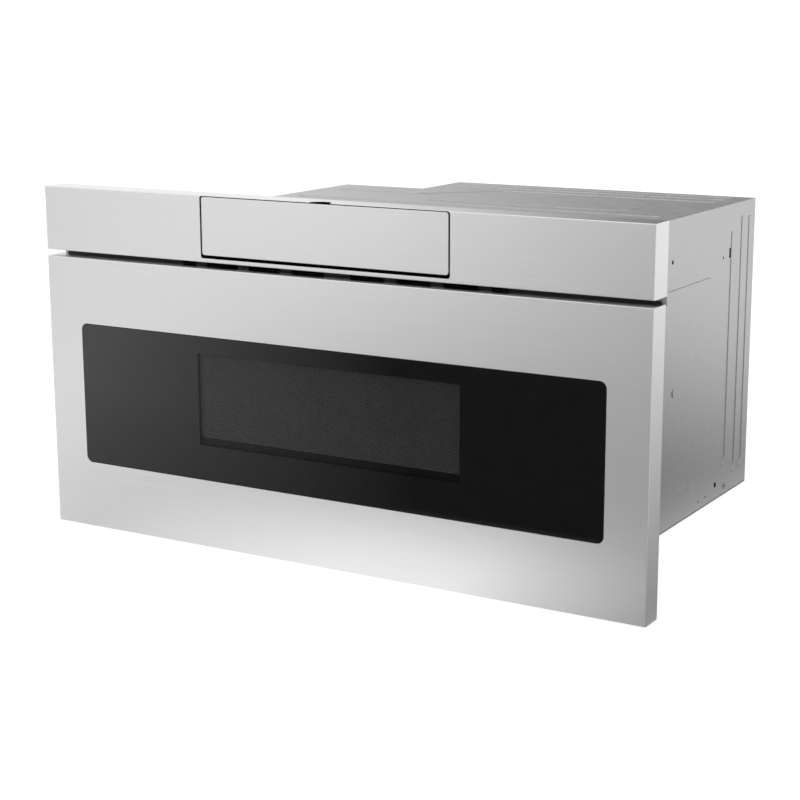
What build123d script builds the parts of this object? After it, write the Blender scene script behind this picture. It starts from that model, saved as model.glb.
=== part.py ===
from build123d import *
import math
import os

# Microwave drawer for a base cabinet: a stainless front 30 inches wide, made of a control
# fascia over a sliding drawer front, and a narrower sheet-metal chassis behind it that holds
# the oven chamber, the microwave supply and the drawer drive.
#
# Frame: +X to the right as seen from the front, +Y to the back, +Z up. The origin is the
# middle of the footprint on the surface that the unit stands on. Lengths are millimetres.
# "Depth" is the distance behind the front face, and y_at() turns it into a y coordinate.

os.makedirs("parts", exist_ok=True)

# ---------------------------------------------------------------- driving dimensions

# Overall envelope
front_width = 758.8
front_height = 400.0
unit_depth = 576.8
front_floor_gap = 1.0
front_overhang = 109.4
chassis_drop = 34.0
foot_height = 2.3

# Front faces
fascia_height = 73.2
fascia_depth = 32.0
vent_gap = 7.2
drawer_front_depth = 28.6
skin = 1.0
skin_corner = 0.9
flap_edge = 0.6
glass_edge = 0.4

# Sheet thicknesses
sheet = 1.0
frame_sheet = 1.2
bracket_sheet = 1.5

# Clearances
slide_gap = 0.35
running_gap = 0.3
shaft_gap = 0.05

# Corner recess at the rear left, where the supply cord comes out
recess_width = 117.8
recess_depth = 99.8

# Pressings and holes of the chassis sheets: an inset is measured from the rear of the unit and
# a drop from the top of the chassis
emboss_height = 0.8
bead_width = 5.0
bead_height = 0.9
bead_bend = 8.0
bead_crown = 0.8
emboss_crown = 0.6
pad_front_depth = 60.0
pad_back_inset = 137.8
pad_bottom = 81.6
pad_top_drop = 81.0
pad_corner = 12.0
low_bead_rise = 42.4
side_bead_insets = (77.3, 43.8, 18.8)
side_bead_bottoms = (45.4, 31.5, 32.4)
side_bead_top_drops = (34.0, 18.0, 20.0)
side_bead_hook = 8.0
side_bead_bend = 12.0
side_hole_insets = (264.4, 105.2)
side_hole_drops = (48.6, 62.5)
side_hole_radii = (2.6, 1.8)
low_hole_insets = (139.6, 162.2)
low_hole_rises = (14.2, 13.5)
low_hole_radius = 1.8
side_slot_inset = 83.3
side_slot_drop = 59.3
side_slot_width = 4.8
side_slot_height = 12.0
side_notch_inset = 106.8
side_notch_rise = 21.7
side_notch_width = 6.5
side_notch_height = 6.0
side_dimple_inset = 75.0
side_dimple_rise = 13.0
side_dimple_radius = 4.0
side_tab_inset = 252.4
side_tab_rise = 165.2
side_tab_radius = 5.0
top_front_bead_inset = 250.8
top_pad_front_inset = 218.3
top_pad_back_inset = 130.0
top_pad_left = -81.0
top_pad_right = 190.6
top_left_bead_inset = 154.8
top_back_bead_inset = 76.8
top_rear_bead_insets = (46.8, 19.8)
top_step_left = -122.0
top_step_right = -46.0
top_bead_margin = 22.0
rear_lip = 1.8

# Feet pressed in the base
foot_radius = 11.0
foot_front_depth = 48.0
foot_edge_inset = 42.0
foot_back_inset = 36.0

# Drawer front
window_end_inset = 47.0
window_top_inset = 76.0
window_rise = 78.0
window_corner = 8.0
window_reveal = 0.5
glass_thickness = 4.0
glass_inset = 0.3
screen_width = 360.0
screen_bottom_inset = 28.6
screen_top_inset = 9.0
screen_sheet = 0.6
screen_corner = 8.0
inner_window_thickness = 3.0
tube_wall = 1.2

# Oven chamber and the drawer box that slides in it
chamber_side_room = 42.5
chamber_head_room = 105.0
chamber_floor = 71.0
rear_bay = 106.8
box_side_room = 9.0
box_back_room = 7.2
box_head_room = 26.0
box_wall = 1.2
box_lift = 5.0
box_corner = 30.0
box_bottom_radius = 9.0
tray_thickness = 5.0
tray_margin = 12.0
tray_corner = 22.0
choke_cover_thickness = 2.8
choke_cover_margin = 20.0
choke_fit = 0.8

# Drawer slides
slide_height = 45.0
slide_sheet = 1.2
slide_width = 12.1
slide_centre_rise = 64.5
slide_start = 34.0
slide_end_room = 6.0
slide_step = 2.0
slide_slot_margin = 2.4
bracket_height = 29.0
bracket_length = 40.0
bracket_foot = 15.4

# Rack drive
gear_module = 2.0
pinion_teeth = 12
pressure_angle = 20.0
rack_addendum = 1.35
tooth_backlash = 0.3
root_clearance = 0.4
pinion_depth = 52.0
rack_width = 9.6
rack_height = 10.0
rack_bottom = 36.0
rack_end_room = 20.0
pinion_shaft_radius = 3.0
pinion_shaft_length = 13.0
gearbox_height = 26.0
gearbox_width = 36.0
gearbox_length = 58.0
gearbox_room = 6.3
drive_can_radius = 12.0
drive_can_length = 48.0
guide_depth = 180.0
guide_length = 34.0
guide_wall = 3.0

# Control flap
flap_width = 310.0
flap_height = 64.0
flap_side_gap = 2.0
flap_bottom_gap = 3.5
flap_top_gap = 0.9
flap_lip = 0.4
flap_corner = 3.0
hinge_depth = 6.0
hinge_rise = 4.2
hinge_pin_radius = 2.5
hinge_boss_radius = 4.2
hinge_boss_length = 7.0
housing_wall = 1.8
housing_end_inset = 1.3
housing_bottom_rise = 1.7
housing_back_depth = 33.0
housing_back_rise = 11.2
housing_foot_depth = 14.0
touch_top_depth = 3.0
touch_top_drop = 2.2
touch_length = 47.0
touch_tilt = 48.5
touch_thickness = 2.5
touch_end_inset = 2.3
board_thickness = 1.6
board_margin = 5.0
flap_opening_gap = 3.0
flap_sweep_gap = 1.2
ear_gap = 1.2
finger_notch_radius = 13.0

# Vents between the fascia and the drawer front
vent_width = 42.0
vent_rib = 15.0
vent_middle_rib = 33.0
vent_end_width = 20.0
vent_height = 6.0
vent_drop = 0.2
vent_offset = 1.9
vent_count = 3
strip_thickness = 1.8
strip_end_inset = 5.5
strip_lap = 2.1

# Microwave supply
stirrer_offset = 8.4
dome_size = 200.0
dome_height = 28.0
stirrer_radius = 82.0
stirrer_blades = 4
stirrer_blade_width = 27.2
stirrer_pitch = 12.0
stirrer_lift = 7.0
stirrer_motor_radius = 24.0
stirrer_motor_height = 20.0
stirrer_foot_half = 36.0
guide_tube_width = 90.0
guide_end_inset = 8.0
magnetron_inset = 54.8
magnetron_width = 90.0
magnetron_length = 78.0
magnetron_height = 100.0
filter_box_height = 26.0
fin_count = 6
antenna_radius = 9.0
antenna_height = 19.0
fan_radius = 42.0
fan_inset = 52.8
fan_drop = 58.0
fan_x = 62.0
fan_blades = 5
fan_pitch = 35.0
fan_width = 14.0
fan_tip_gap = 3.0
fan_motor_gap = 6.0
fan_shaft_radius = 2.0
fan_motor_radius = 24.0
fan_motor_length = 22.0
core_width = 95.0
core_length = 72.0
core_height = 82.0
core_recess_room = 26.7
supply_inset = 50.8
capacitor_x = 40.0
capacitor_width = 54.0
capacitor_length = 34.0
capacitor_head_room = 31.7

# Mounting flange screws
flange_end_inset = 39.4
flange_screw_inset = 79.4
flange_screw_rise = 55.0
flange_screw_drop = 92.0
flange_screw_radius = 2.4

# Cord gland
gland_radius = 5.0
gland_neck_radius = 8.0
gland_flange_radius = 12.0
gland_length = 14.0
gland_flange_thickness = 3.0
gland_drop = 47.0

# ---------------------------------------------------------------- shared levels

half_front = front_width / 2
half_chassis = half_front - front_overhang
side_inner = half_chassis - sheet
front_bottom = front_floor_gap
front_top = front_bottom + front_height
fascia_bottom = front_top - fascia_height
drawer_front_top = fascia_bottom - vent_gap
chassis_bottom = foot_height
chassis_top = front_top - chassis_drop
under_top = chassis_top - sheet
on_base = chassis_bottom + sheet
frame_back = fascia_depth + frame_sheet
rear_inner = unit_depth - rear_lip - sheet
recess_x = -half_chassis + recess_width
recess_front = unit_depth - recess_depth
half_chamber = half_chassis - chamber_side_room
chamber_ceiling = chassis_top - chamber_head_room
chamber_roof = chamber_ceiling + sheet
chamber_back = unit_depth - rear_bay
box_bottom = chamber_floor + box_lift
box_top = chamber_ceiling - box_head_room
box_back = chamber_back - box_back_room
half_box = half_chamber - box_side_room + box_wall
pad_back_depth = unit_depth - pad_back_inset
pad_top = chassis_top - pad_top_drop
stirrer_depth = (frame_back + chamber_back) / 2 + stirrer_offset
magnetron_depth = unit_depth - magnetron_inset
magnetron_bottom = chamber_roof - magnetron_height - filter_box_height
fan_depth = unit_depth - fan_inset
fan_rise = chamber_roof - fan_drop
supply_depth = unit_depth - supply_inset
core_left = recess_x + core_recess_room
core_x = core_left + core_width / 2
gland_rise = chassis_top - gland_drop
flap_top = front_top - flap_lip - flap_top_gap
flap_bottom = flap_top - flap_height
hinge_z = flap_bottom + hinge_rise
backplate_front = fascia_depth - sheet
vent_middle = drawer_front_top - vent_drop + vent_height / 2
window_width = front_width - 2 * window_end_inset
window_bottom = front_bottom + window_rise
window_top = drawer_front_top - window_top_inset
screen_bottom = window_bottom + screen_bottom_inset
screen_top = window_top - screen_top_inset
screen_back = glass_inset + glass_thickness + screen_sheet
door_rear = drawer_front_depth
sides = (("left", -1), ("right", 1))

# ---------------------------------------------------------------- shared shapes


def y_at(depth):
    """Return the y coordinate at a depth behind the front face."""
    return depth - unit_depth / 2


def span(side, near, far):
    """Return the x range between two distances from the centre plane, on side -1 or +1."""
    return tuple(sorted((side * near, side * far)))


def block(x, depth, z, mode=Mode.ADD):
    """Add or cut a block between two x values, two depths and two heights."""
    with Locations(((x[0] + x[1]) / 2, y_at((depth[0] + depth[1]) / 2), (z[0] + z[1]) / 2)):
        Box(x[1] - x[0], depth[1] - depth[0], z[1] - z[0], mode=mode)


def rod_x(radius, x, depth, z, mode=Mode.ADD):
    """Add or cut a cylinder along X between two x values."""
    with Locations(Location(((x[0] + x[1]) / 2, y_at(depth), z), (0, 90, 0))):
        Cylinder(radius, x[1] - x[0], mode=mode)


def rod_y(radius, x, depth, z, mode=Mode.ADD):
    """Add or cut a cylinder along Y between two depths."""
    with Locations(Location((x, y_at((depth[0] + depth[1]) / 2), z), (90, 0, 0))):
        Cylinder(radius, depth[1] - depth[0], mode=mode)


def rod_z(radius, x, depth, z, mode=Mode.ADD):
    """Add or cut a cylinder along Z between two heights."""
    with Locations((x, y_at(depth), (z[0] + z[1]) / 2)):
        Cylinder(radius, z[1] - z[0], mode=mode)


def tube_walls(x, depth, z, wall, mode_axis):
    """Add a rectangular tube of the given wall, open along axis "x", "y" or "z"."""
    block(x, depth, z)
    inner_x = x if mode_axis == "x" else (x[0] + wall, x[1] - wall)
    inner_depth = depth if mode_axis == "y" else (depth[0] + wall, depth[1] - wall)
    inner_z = z if mode_axis == "z" else (z[0] + wall, z[1] - wall)
    block(inner_x, inner_depth, inner_z, mode=Mode.SUBTRACT)


def rounded_plate(width, height, corner, centre_z, depth, mode=Mode.ADD):
    """Add or cut an upright plate with rounded corners, centred on x = 0, between two depths."""
    with BuildSketch(Plane.XZ.offset(-y_at(depth[0]))) as outline:
        with Locations((0, centre_z)):
            RectangleRounded(width, height, corner)
    extrude(outline.sketch, amount=-(depth[1] - depth[0]), mode=mode)


def raised(outline, plane, height, crown):
    """Raise an outline from a sheet face and round the edges of its crown."""
    extrude(outline, amount=height)
    direction = plane.z_dir * math.copysign(1, height)
    top = max(faces(Select.LAST), key=lambda face: face.center().dot(direction))
    fillet(top.edges(), radius=crown)


def bead(plane, points, bends, height):
    """Press a raised bead along a rounded path on a sheet face."""
    with BuildSketch(plane) as ridge:
        with BuildLine():
            FilletPolyline(*points, radius=bends)
        trace(line_width=bead_width)
    raised(ridge.sketch, plane, height, bead_crown)


def straight_bead(plane, start, end, height):
    """Press a raised straight bead with round ends on a sheet face."""
    length = math.hypot(end[0] - start[0], end[1] - start[1])
    turn = math.degrees(math.atan2(end[1] - start[1], end[0] - start[0]))
    with BuildSketch(plane) as ridge:
        with Locations(Location(((start[0] + end[0]) / 2, (start[1] + end[1]) / 2), turn)):
            SlotOverall(length, bead_width)
    raised(ridge.sketch, plane, height, bead_crown)


def write(piece, label):
    """Label a finished piece and write it as its own file."""
    piece.part.label = label
    export_step(piece.part, f"parts/{label}.step")


def vent_spans():
    """Return the x ranges of the vents: equal ones each side of the middle rib, then a short one."""
    spans = []
    edge = vent_middle_rib / 2
    for width in [vent_width] * vent_count + [vent_end_width]:
        for _, side in sides:
            near, far = span(side, edge, edge + width)
            spans.append((near + vent_offset, far + vent_offset))
        edge += width + vent_rib
    return spans


def cut_vents(depth):
    """Cut the row of air outlets through a sheet between two depths."""
    for x in vent_spans():
        block(x, depth, (vent_middle - vent_height / 2, vent_middle + vent_height / 2), mode=Mode.SUBTRACT)


# ---------------------------------------------------------------- chassis

foot_places = [(side * (half_chassis - foot_edge_inset), foot_front_depth) for _, side in sides]
foot_places += [(half_chassis - foot_edge_inset, unit_depth - foot_back_inset)]
foot_places += [(-half_chassis + foot_edge_inset, recess_front - foot_back_inset)]
foot_places += [(recess_x + foot_back_inset, unit_depth - foot_back_inset)]
base_flange = 14.0
base_slot_length = 60.0
base_slot_width = 5.0
base_slot_pitch = 15.0

with BuildPart() as base_plate:
    block((-side_inner, side_inner), (frame_back, rear_inner), (chassis_bottom, on_base))
    for _, side in sides:
        block(
            span(side, side_inner - sheet, side_inner),
            (frame_back, rear_inner if side > 0 else recess_front - sheet),
            (chassis_bottom, chassis_bottom + base_flange),
        )
    block(
        (-side_inner - sheet, recess_x + sheet),
        (recess_front - sheet, unit_depth),
        (0, chassis_bottom + base_flange),
        mode=Mode.SUBTRACT,
    )
    for foot_x, foot_depth in foot_places:
        with Locations((foot_x, y_at(foot_depth), foot_height / 2)):
            Cone(foot_radius - foot_height, foot_radius, foot_height)
    for slot_row in range(-3, 4):
        with BuildSketch(Plane.XY.offset(chassis_bottom)) as slot:
            with Locations((core_x + slot_row * base_slot_pitch, y_at(supply_depth - core_length))):
                SlotOverall(base_slot_length, base_slot_width, rotation=90)
        extrude(slot.sketch, amount=sheet, mode=Mode.SUBTRACT)
write(base_plate, "base_plate")


def side_panel_shape(side, end_depth):
    """Build one chassis side: a flat sheet with a raised pad and a low bead."""
    block(span(side, side_inner, half_chassis), (frame_back, end_depth), (chassis_bottom, under_top))
    pad_middle = (y_at((pad_front_depth + pad_back_depth) / 2), (pad_bottom + pad_top) / 2)
    pad_size = (pad_back_depth - pad_front_depth, pad_top - pad_bottom)
    side_face = Plane.YZ.offset(side * half_chassis)
    with BuildSketch(side_face) as pad:
        with Locations(pad_middle):
            RectangleRounded(*pad_size, pad_corner)
    raised(pad.sketch, side_face, side * emboss_height, emboss_crown)
    with BuildSketch(Plane.YZ.offset(side * side_inner)) as hollow:
        with Locations(pad_middle):
            RectangleRounded(pad_size[0] - 2 * sheet, pad_size[1] - 2 * sheet, pad_corner - sheet)
    extrude(hollow.sketch, amount=side * emboss_height, mode=Mode.SUBTRACT)
    straight_bead(
        side_face,
        (y_at(pad_front_depth), low_bead_rise),
        (y_at(pad_back_depth + pad_corner), low_bead_rise),
        side * bead_height,
    )


with BuildPart() as side_panel_left:
    side_panel_shape(-1, recess_front)
write(side_panel_left, "side_panel_left")

with BuildPart() as side_panel_right:
    side_panel_shape(1, unit_depth)
    outer_face = Plane.YZ.offset(half_chassis)
    for inset, low, drop in zip(side_bead_insets, side_bead_bottoms, side_bead_top_drops):
        bead_y = y_at(unit_depth - inset)
        bead(
            outer_face,
            [
                (bead_y, chassis_top - drop),
                (bead_y, low),
                (bead_y - side_bead_hook, low - side_bead_hook / 2),
            ],
            side_bead_bend,
            bead_height,
        )
    wall_span = (side_inner - sheet, half_chassis + sheet)
    for inset, drop, radius in zip(side_hole_insets, side_hole_drops, side_hole_radii):
        rod_x(radius, wall_span, unit_depth - inset, chassis_top - drop, mode=Mode.SUBTRACT)
    for inset, rise in zip(low_hole_insets, low_hole_rises):
        rod_x(low_hole_radius, wall_span, unit_depth - inset, rise, mode=Mode.SUBTRACT)
    slot_depth = unit_depth - side_slot_inset
    slot_z = chassis_top - side_slot_drop
    block(
        wall_span,
        (slot_depth - side_slot_width / 2, slot_depth + side_slot_width / 2),
        (slot_z - side_slot_height / 2, slot_z + side_slot_height / 2),
        mode=Mode.SUBTRACT,
    )
    notch_depth = unit_depth - side_notch_inset
    block(
        wall_span,
        (notch_depth - side_notch_width / 2, notch_depth + side_notch_width / 2),
        (side_notch_rise - side_notch_height / 2, side_notch_rise + side_notch_height / 2),
        mode=Mode.SUBTRACT,
    )
    dimple_depth = unit_depth - side_dimple_inset
    dimple_span = (half_chassis, half_chassis + bead_height)
    rod_x(side_dimple_radius, dimple_span, dimple_depth, side_dimple_rise)
    rod_x(side_dimple_radius / 2, wall_span, dimple_depth, side_dimple_rise, mode=Mode.SUBTRACT)
    pad_face = half_chassis + emboss_height
    rod_x(side_tab_radius, (pad_face, pad_face + bead_height), unit_depth - side_tab_inset, side_tab_rise)
write(side_panel_right, "side_panel_right")

with BuildPart() as top_panel:
    block((-half_chassis, half_chassis), (frame_back, unit_depth), (under_top, chassis_top))
    block(
        (-half_chassis - sheet, recess_x),
        (recess_front, unit_depth + sheet),
        (under_top - sheet, chassis_top + sheet),
        mode=Mode.SUBTRACT,
    )
    top_face = Plane.XY.offset(chassis_top)
    bead_left = -half_chassis + top_bead_margin
    bead_right = half_chassis - top_bead_margin
    front_bead_y = y_at(unit_depth - top_front_bead_inset)
    straight_bead(top_face, (bead_left, front_bead_y), (bead_right, front_bead_y), bead_height)
    pad_middle_x = (top_pad_left + top_pad_right) / 2
    pad_middle_y = y_at(unit_depth - (top_pad_front_inset + top_pad_back_inset) / 2)
    pad_span = (top_pad_right - top_pad_left, top_pad_front_inset - top_pad_back_inset)
    with BuildSketch(top_face) as pad:
        with Locations((pad_middle_x, pad_middle_y)):
            RectangleRounded(*pad_span, pad_corner)
    raised(pad.sketch, top_face, emboss_height, emboss_crown)
    with BuildSketch(Plane.XY.offset(under_top)) as hollow:
        with Locations((pad_middle_x, pad_middle_y)):
            RectangleRounded(pad_span[0] - 2 * sheet, pad_span[1] - 2 * sheet, pad_corner - sheet)
    extrude(hollow.sketch, amount=emboss_height, mode=Mode.SUBTRACT)
    bead(
        top_face,
        [
            (bead_left, y_at(unit_depth - top_left_bead_inset)),
            (top_step_left, y_at(unit_depth - top_left_bead_inset)),
            (top_step_right, y_at(unit_depth - top_back_bead_inset)),
            (bead_right, y_at(unit_depth - top_back_bead_inset)),
        ],
        bead_bend,
        bead_height,
    )
    for inset in top_rear_bead_insets:
        bead_y = y_at(unit_depth - inset)
        straight_bead(top_face, (recess_x + top_bead_margin, bead_y), (bead_right, bead_y), bead_height)
write(top_panel, "top_panel")

rear_slot_length = 36.0
rear_slot_width = 5.0
rear_slot_offsets = (-92.4, 42.0, 92.4)
rear_slot_pitch = 11.0
rear_slot_rows = 9
rear_screw_radius = 1.9
rear_screw_inset = 12.0
rear_panel_left = recess_x
rear_panel_right = side_inner
rear_screw_places = [
    (x, z)
    for x in (rear_panel_left + rear_screw_inset, capacitor_x, rear_panel_right - rear_screw_inset)
    for z in (on_base + rear_screw_inset, under_top - rear_screw_inset)
]

with BuildPart() as rear_panel:
    block((rear_panel_left, rear_panel_right), (rear_inner, rear_inner + sheet), (chassis_bottom, under_top))
    for slot_offset in rear_slot_offsets:
        for row in range(rear_slot_rows):
            slot_z = fan_rise + (row - (rear_slot_rows - 1) / 2) * rear_slot_pitch
            with BuildSketch(Plane.XZ.offset(-y_at(rear_inner))) as slot:
                with Locations((fan_x + slot_offset, slot_z)):
                    SlotOverall(rear_slot_length, rear_slot_width)
            extrude(slot.sketch, amount=-sheet, mode=Mode.SUBTRACT)
    for screw_x, screw_z in rear_screw_places:
        rod_y(rear_screw_radius, screw_x, (rear_inner - sheet, unit_depth), screw_z, mode=Mode.SUBTRACT)
write(rear_panel, "rear_panel")

screw_head_radius = 3.6
screw_shank_length = 6.0

with BuildPart() as rear_screws:
    rear_face = rear_inner + sheet
    for screw_x, screw_z in rear_screw_places:
        rod_y(rear_screw_radius, screw_x, (rear_face - screw_shank_length, rear_face), screw_z)
        rod_y(screw_head_radius, screw_x, (rear_face, unit_depth), screw_z)
write(rear_screws, "rear_screws")

gland_x = (-half_chassis + recess_x) / 2

with BuildPart() as recess_panel:
    block((-side_inner, recess_x + sheet), (recess_front - sheet, recess_front), (chassis_bottom, under_top))
    block((recess_x, recess_x + sheet), (recess_front, rear_inner), (chassis_bottom, under_top))
    gland_hole = (recess_front - 2 * sheet, recess_front + sheet)
    rod_y(gland_neck_radius, gland_x, gland_hole, gland_rise, mode=Mode.SUBTRACT)
write(recess_panel, "recess_panel")

with BuildPart() as cord_gland:
    gland_inner_end = recess_front - gland_length / 2
    rod_y(gland_neck_radius, gland_x, (gland_inner_end, recess_front + gland_flange_thickness), gland_rise)
    rod_y(gland_flange_radius, gland_x, (recess_front, recess_front + gland_flange_thickness), gland_rise)
    rod_y(
        gland_flange_radius,
        gland_x,
        (recess_front - sheet - gland_flange_thickness, recess_front - sheet),
        gland_rise,
    )
    rod_y(
        gland_radius,
        gland_x,
        (gland_inner_end - sheet, recess_front + gland_flange_thickness + sheet),
        gland_rise,
        mode=Mode.SUBTRACT,
    )
write(cord_gland, "cord_gland")

# The mating pieces of the drawer pass through the front frame, so its cut-outs follow them.
hook_side_inset = 23.5
hook_rise = 23.0
slide_bottom = slide_centre_rise - slide_height / 2
slide_top = slide_centre_rise + slide_height / 2
slide_face = side_inner - slide_width
rack_pitch_x = 0.0
rack_back_x = rack_pitch_x - gear_module - root_clearance - rack_width
rack_top = rack_bottom + rack_height
hook_x = half_chamber - hook_side_inset
hook_thickness = 2.0
hook_bottom = chamber_roof + hook_rise
hook_height = 10.0
hook_foot = 6.0
housing_half = flap_width / 2 - housing_end_inset
touch_end = (
    touch_top_depth + touch_length * math.cos(math.radians(touch_tilt)),
    flap_top - touch_top_drop - touch_length * math.sin(math.radians(touch_tilt)),
)
sweep_radius = math.hypot(touch_end[0] - hinge_depth, touch_end[1] - hinge_z) + flap_sweep_gap
flap_slot_half = housing_half + flap_opening_gap
flap_slot_bottom = hinge_z + flap_opening_gap
flap_slot_top = hinge_z + math.sqrt(sweep_radius**2 - (backplate_front - hinge_depth) ** 2)
cut_margin = 3.0

with BuildPart() as front_frame:
    flange_half = half_front - flange_end_inset
    block((-flange_half, flange_half), (fascia_depth, frame_back), (chassis_bottom, chassis_top))
    frame_cut = (fascia_depth - sheet, frame_back + sheet)
    block((-half_chamber, half_chamber), frame_cut, (chamber_floor, chamber_ceiling), mode=Mode.SUBTRACT)
    flap_slot = (flap_slot_bottom, chassis_top + sheet)
    block((-flap_slot_half, flap_slot_half), frame_cut, flap_slot, mode=Mode.SUBTRACT)
    block(
        (rack_back_x - cut_margin, rack_pitch_x + rack_addendum + cut_margin),
        frame_cut,
        (rack_bottom - cut_margin, rack_top + cut_margin),
        mode=Mode.SUBTRACT,
    )
    for _, side in sides:
        block(
            span(side, slide_face - bracket_sheet - slide_slot_margin, side_inner),
            frame_cut,
            (slide_bottom - slide_slot_margin, slide_top + slide_slot_margin),
            mode=Mode.SUBTRACT,
        )
        block(
            span(side, hook_x - hook_thickness / 2 - cut_margin, hook_x + hook_thickness / 2 + cut_margin),
            frame_cut,
            (hook_bottom - cut_margin, hook_bottom + hook_height + cut_margin),
            mode=Mode.SUBTRACT,
        )
        screw_x = side * (half_front - flange_screw_inset)
        for screw_z in (flange_screw_rise, chassis_top - flange_screw_drop):
            rod_y(flange_screw_radius, screw_x, frame_cut, screw_z, mode=Mode.SUBTRACT)
    cut_vents(frame_cut)
write(front_frame, "front_frame")

# ---------------------------------------------------------------- oven chamber and waveguide

lamp_back_room = 50.0
lamp_drop = 26.0
lamp_depth = chamber_back - lamp_back_room
lamp_rise = chamber_ceiling - lamp_drop
lamp_hole_radius = 2.0
lamp_hole_pitch = 6.0
dome_hole_inset = 12.0
dome_near = stirrer_depth - dome_size / 2
dome_far = stirrer_depth + dome_size / 2
dome_top = chamber_roof + dome_height
half_dome = dome_size / 2
guide_window_inset = 3.0
guide_end = magnetron_depth + magnetron_length / 2 - guide_end_inset
stirrer_shaft_radius = 2.5

with BuildPart() as oven_chamber:
    block(
        (-half_chamber - sheet, half_chamber + sheet),
        (frame_back, chamber_back + sheet),
        (chamber_floor - sheet, chamber_roof),
    )
    block(
        (-half_chamber, half_chamber),
        (frame_back - sheet, chamber_back),
        (chamber_floor, chamber_ceiling),
        mode=Mode.SUBTRACT,
    )
    roof_span = (chamber_ceiling - sheet, chamber_roof + sheet)
    rod_z(half_dome - dome_hole_inset, 0, stirrer_depth, roof_span, Mode.SUBTRACT)
    for column in range(-2, 3):
        for row in range(-2, 3):
            rod_x(
                lamp_hole_radius,
                (half_chamber - sheet, half_chamber + 2 * sheet),
                lamp_depth + column * lamp_hole_pitch,
                lamp_rise + row * lamp_hole_pitch,
                Mode.SUBTRACT,
            )
write(oven_chamber, "oven_chamber")

with BuildPart() as stirrer_dome:
    block((-half_dome, half_dome), (dome_near, dome_far), (chamber_roof, dome_top))
    block(
        (-half_dome + sheet, half_dome - sheet),
        (dome_near + sheet, dome_far - sheet),
        (chamber_roof - sheet, dome_top - sheet),
        mode=Mode.SUBTRACT,
    )
    block(
        (-guide_tube_width / 2 + guide_window_inset, guide_tube_width / 2 - guide_window_inset),
        (dome_far - 2 * sheet, dome_far + sheet),
        (chamber_roof + guide_window_inset, dome_top - guide_window_inset),
        mode=Mode.SUBTRACT,
    )
    rod_z(2 * stirrer_shaft_radius, 0, stirrer_depth, (dome_top - 2 * sheet, dome_top + sheet), Mode.SUBTRACT)
write(stirrer_dome, "stirrer_dome")

with BuildPart() as waveguide:
    half_guide = guide_tube_width / 2
    block((-half_guide, half_guide), (dome_far, guide_end), (chamber_roof, dome_top))
    block(
        (-half_guide + sheet, half_guide - sheet),
        (dome_far - sheet, guide_end - sheet),
        (chamber_roof + sheet, dome_top - sheet),
        mode=Mode.SUBTRACT,
    )
    rod_z(
        antenna_radius + running_gap + sheet,
        0,
        magnetron_depth,
        (chamber_roof - sheet, chamber_roof + 2 * sheet),
        Mode.SUBTRACT,
    )
write(waveguide, "waveguide")

with BuildPart() as waveguide_cover:
    block(
        (-half_dome, half_dome),
        (dome_near, dome_far),
        (chamber_ceiling - sheet, chamber_ceiling),
    )
write(waveguide_cover, "waveguide_cover")

stirrer_bottom = chamber_roof + stirrer_lift
stirrer_hub_radius = 8.0
stirrer_hub_height = 9.0
stirrer_seat = 8.0
blade_sheet = 0.8

with BuildPart() as stirrer_blade:
    rod_z(stirrer_hub_radius, 0, stirrer_depth, (stirrer_bottom, stirrer_bottom + stirrer_hub_height))
    rod_z(stirrer_shaft_radius, 0, stirrer_depth, (stirrer_bottom, dome_top + stirrer_seat))
    with Locations((0, y_at(stirrer_depth), stirrer_bottom + stirrer_hub_height / 2)):
        with PolarLocations(0, stirrer_blades):
            with Locations(Location((stirrer_radius / 2, 0, 0), (stirrer_pitch, 0, 0))):
                Box(stirrer_radius, stirrer_blade_width, blade_sheet)
write(stirrer_blade, "stirrer_blade")

with BuildPart() as stirrer_motor:
    rod_z(stirrer_motor_radius, 0, stirrer_depth, (dome_top, dome_top + stirrer_motor_height))
    block(
        (-stirrer_foot_half, stirrer_foot_half),
        (stirrer_depth - stirrer_hub_radius, stirrer_depth + stirrer_hub_radius),
        (dome_top, dome_top + bracket_sheet),
    )
    rod_z(
        stirrer_shaft_radius + shaft_gap,
        0,
        stirrer_depth,
        (dome_top - sheet, dome_top + stirrer_seat + running_gap),
        Mode.SUBTRACT,
    )
write(stirrer_motor, "stirrer_motor")

# ---------------------------------------------------------------- microwave supply

yoke_sheet = 2.0
yoke_bottom = chamber_roof - magnetron_height
half_magnetron = magnetron_width / 2
magnetron_near = magnetron_depth - magnetron_length / 2
magnetron_far = magnetron_depth + magnetron_length / 2
magnet_radius = 26.0
magnet_height = 14.0
anode_radius = 18.0
fin_sheet = 0.8
fin_band = (yoke_bottom + yoke_sheet + magnet_height, chamber_roof - yoke_sheet - magnet_height)

with BuildPart() as magnetron:
    tube_walls(
        (-half_magnetron, half_magnetron),
        (magnetron_near, magnetron_far),
        (yoke_bottom, chamber_roof),
        yoke_sheet,
        "x",
    )
    rod_z(magnet_radius, 0, magnetron_depth, (yoke_bottom, fin_band[0]))
    rod_z(magnet_radius, 0, magnetron_depth, (fin_band[1], chamber_roof))
    rod_z(antenna_radius, 0, magnetron_depth, (chamber_roof - yoke_sheet, chamber_roof + antenna_height))
    block(
        (-half_magnetron, half_magnetron),
        (magnetron_near, magnetron_far),
        (magnetron_bottom, yoke_bottom),
    )
write(magnetron, "magnetron")

with BuildPart() as magnetron_fins:
    rod_z(anode_radius, 0, magnetron_depth, fin_band)
    fin_pitch = (fin_band[1] - fin_band[0]) / fin_count
    for fin in range(fin_count):
        fin_z = fin_band[0] + (fin + 0.5) * fin_pitch
        block(
            (-half_magnetron, half_magnetron),
            (magnetron_near + yoke_sheet, magnetron_far - yoke_sheet),
            (fin_z - fin_sheet / 2, fin_z + fin_sheet / 2),
        )
write(magnetron_fins, "magnetron_fins")

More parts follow.
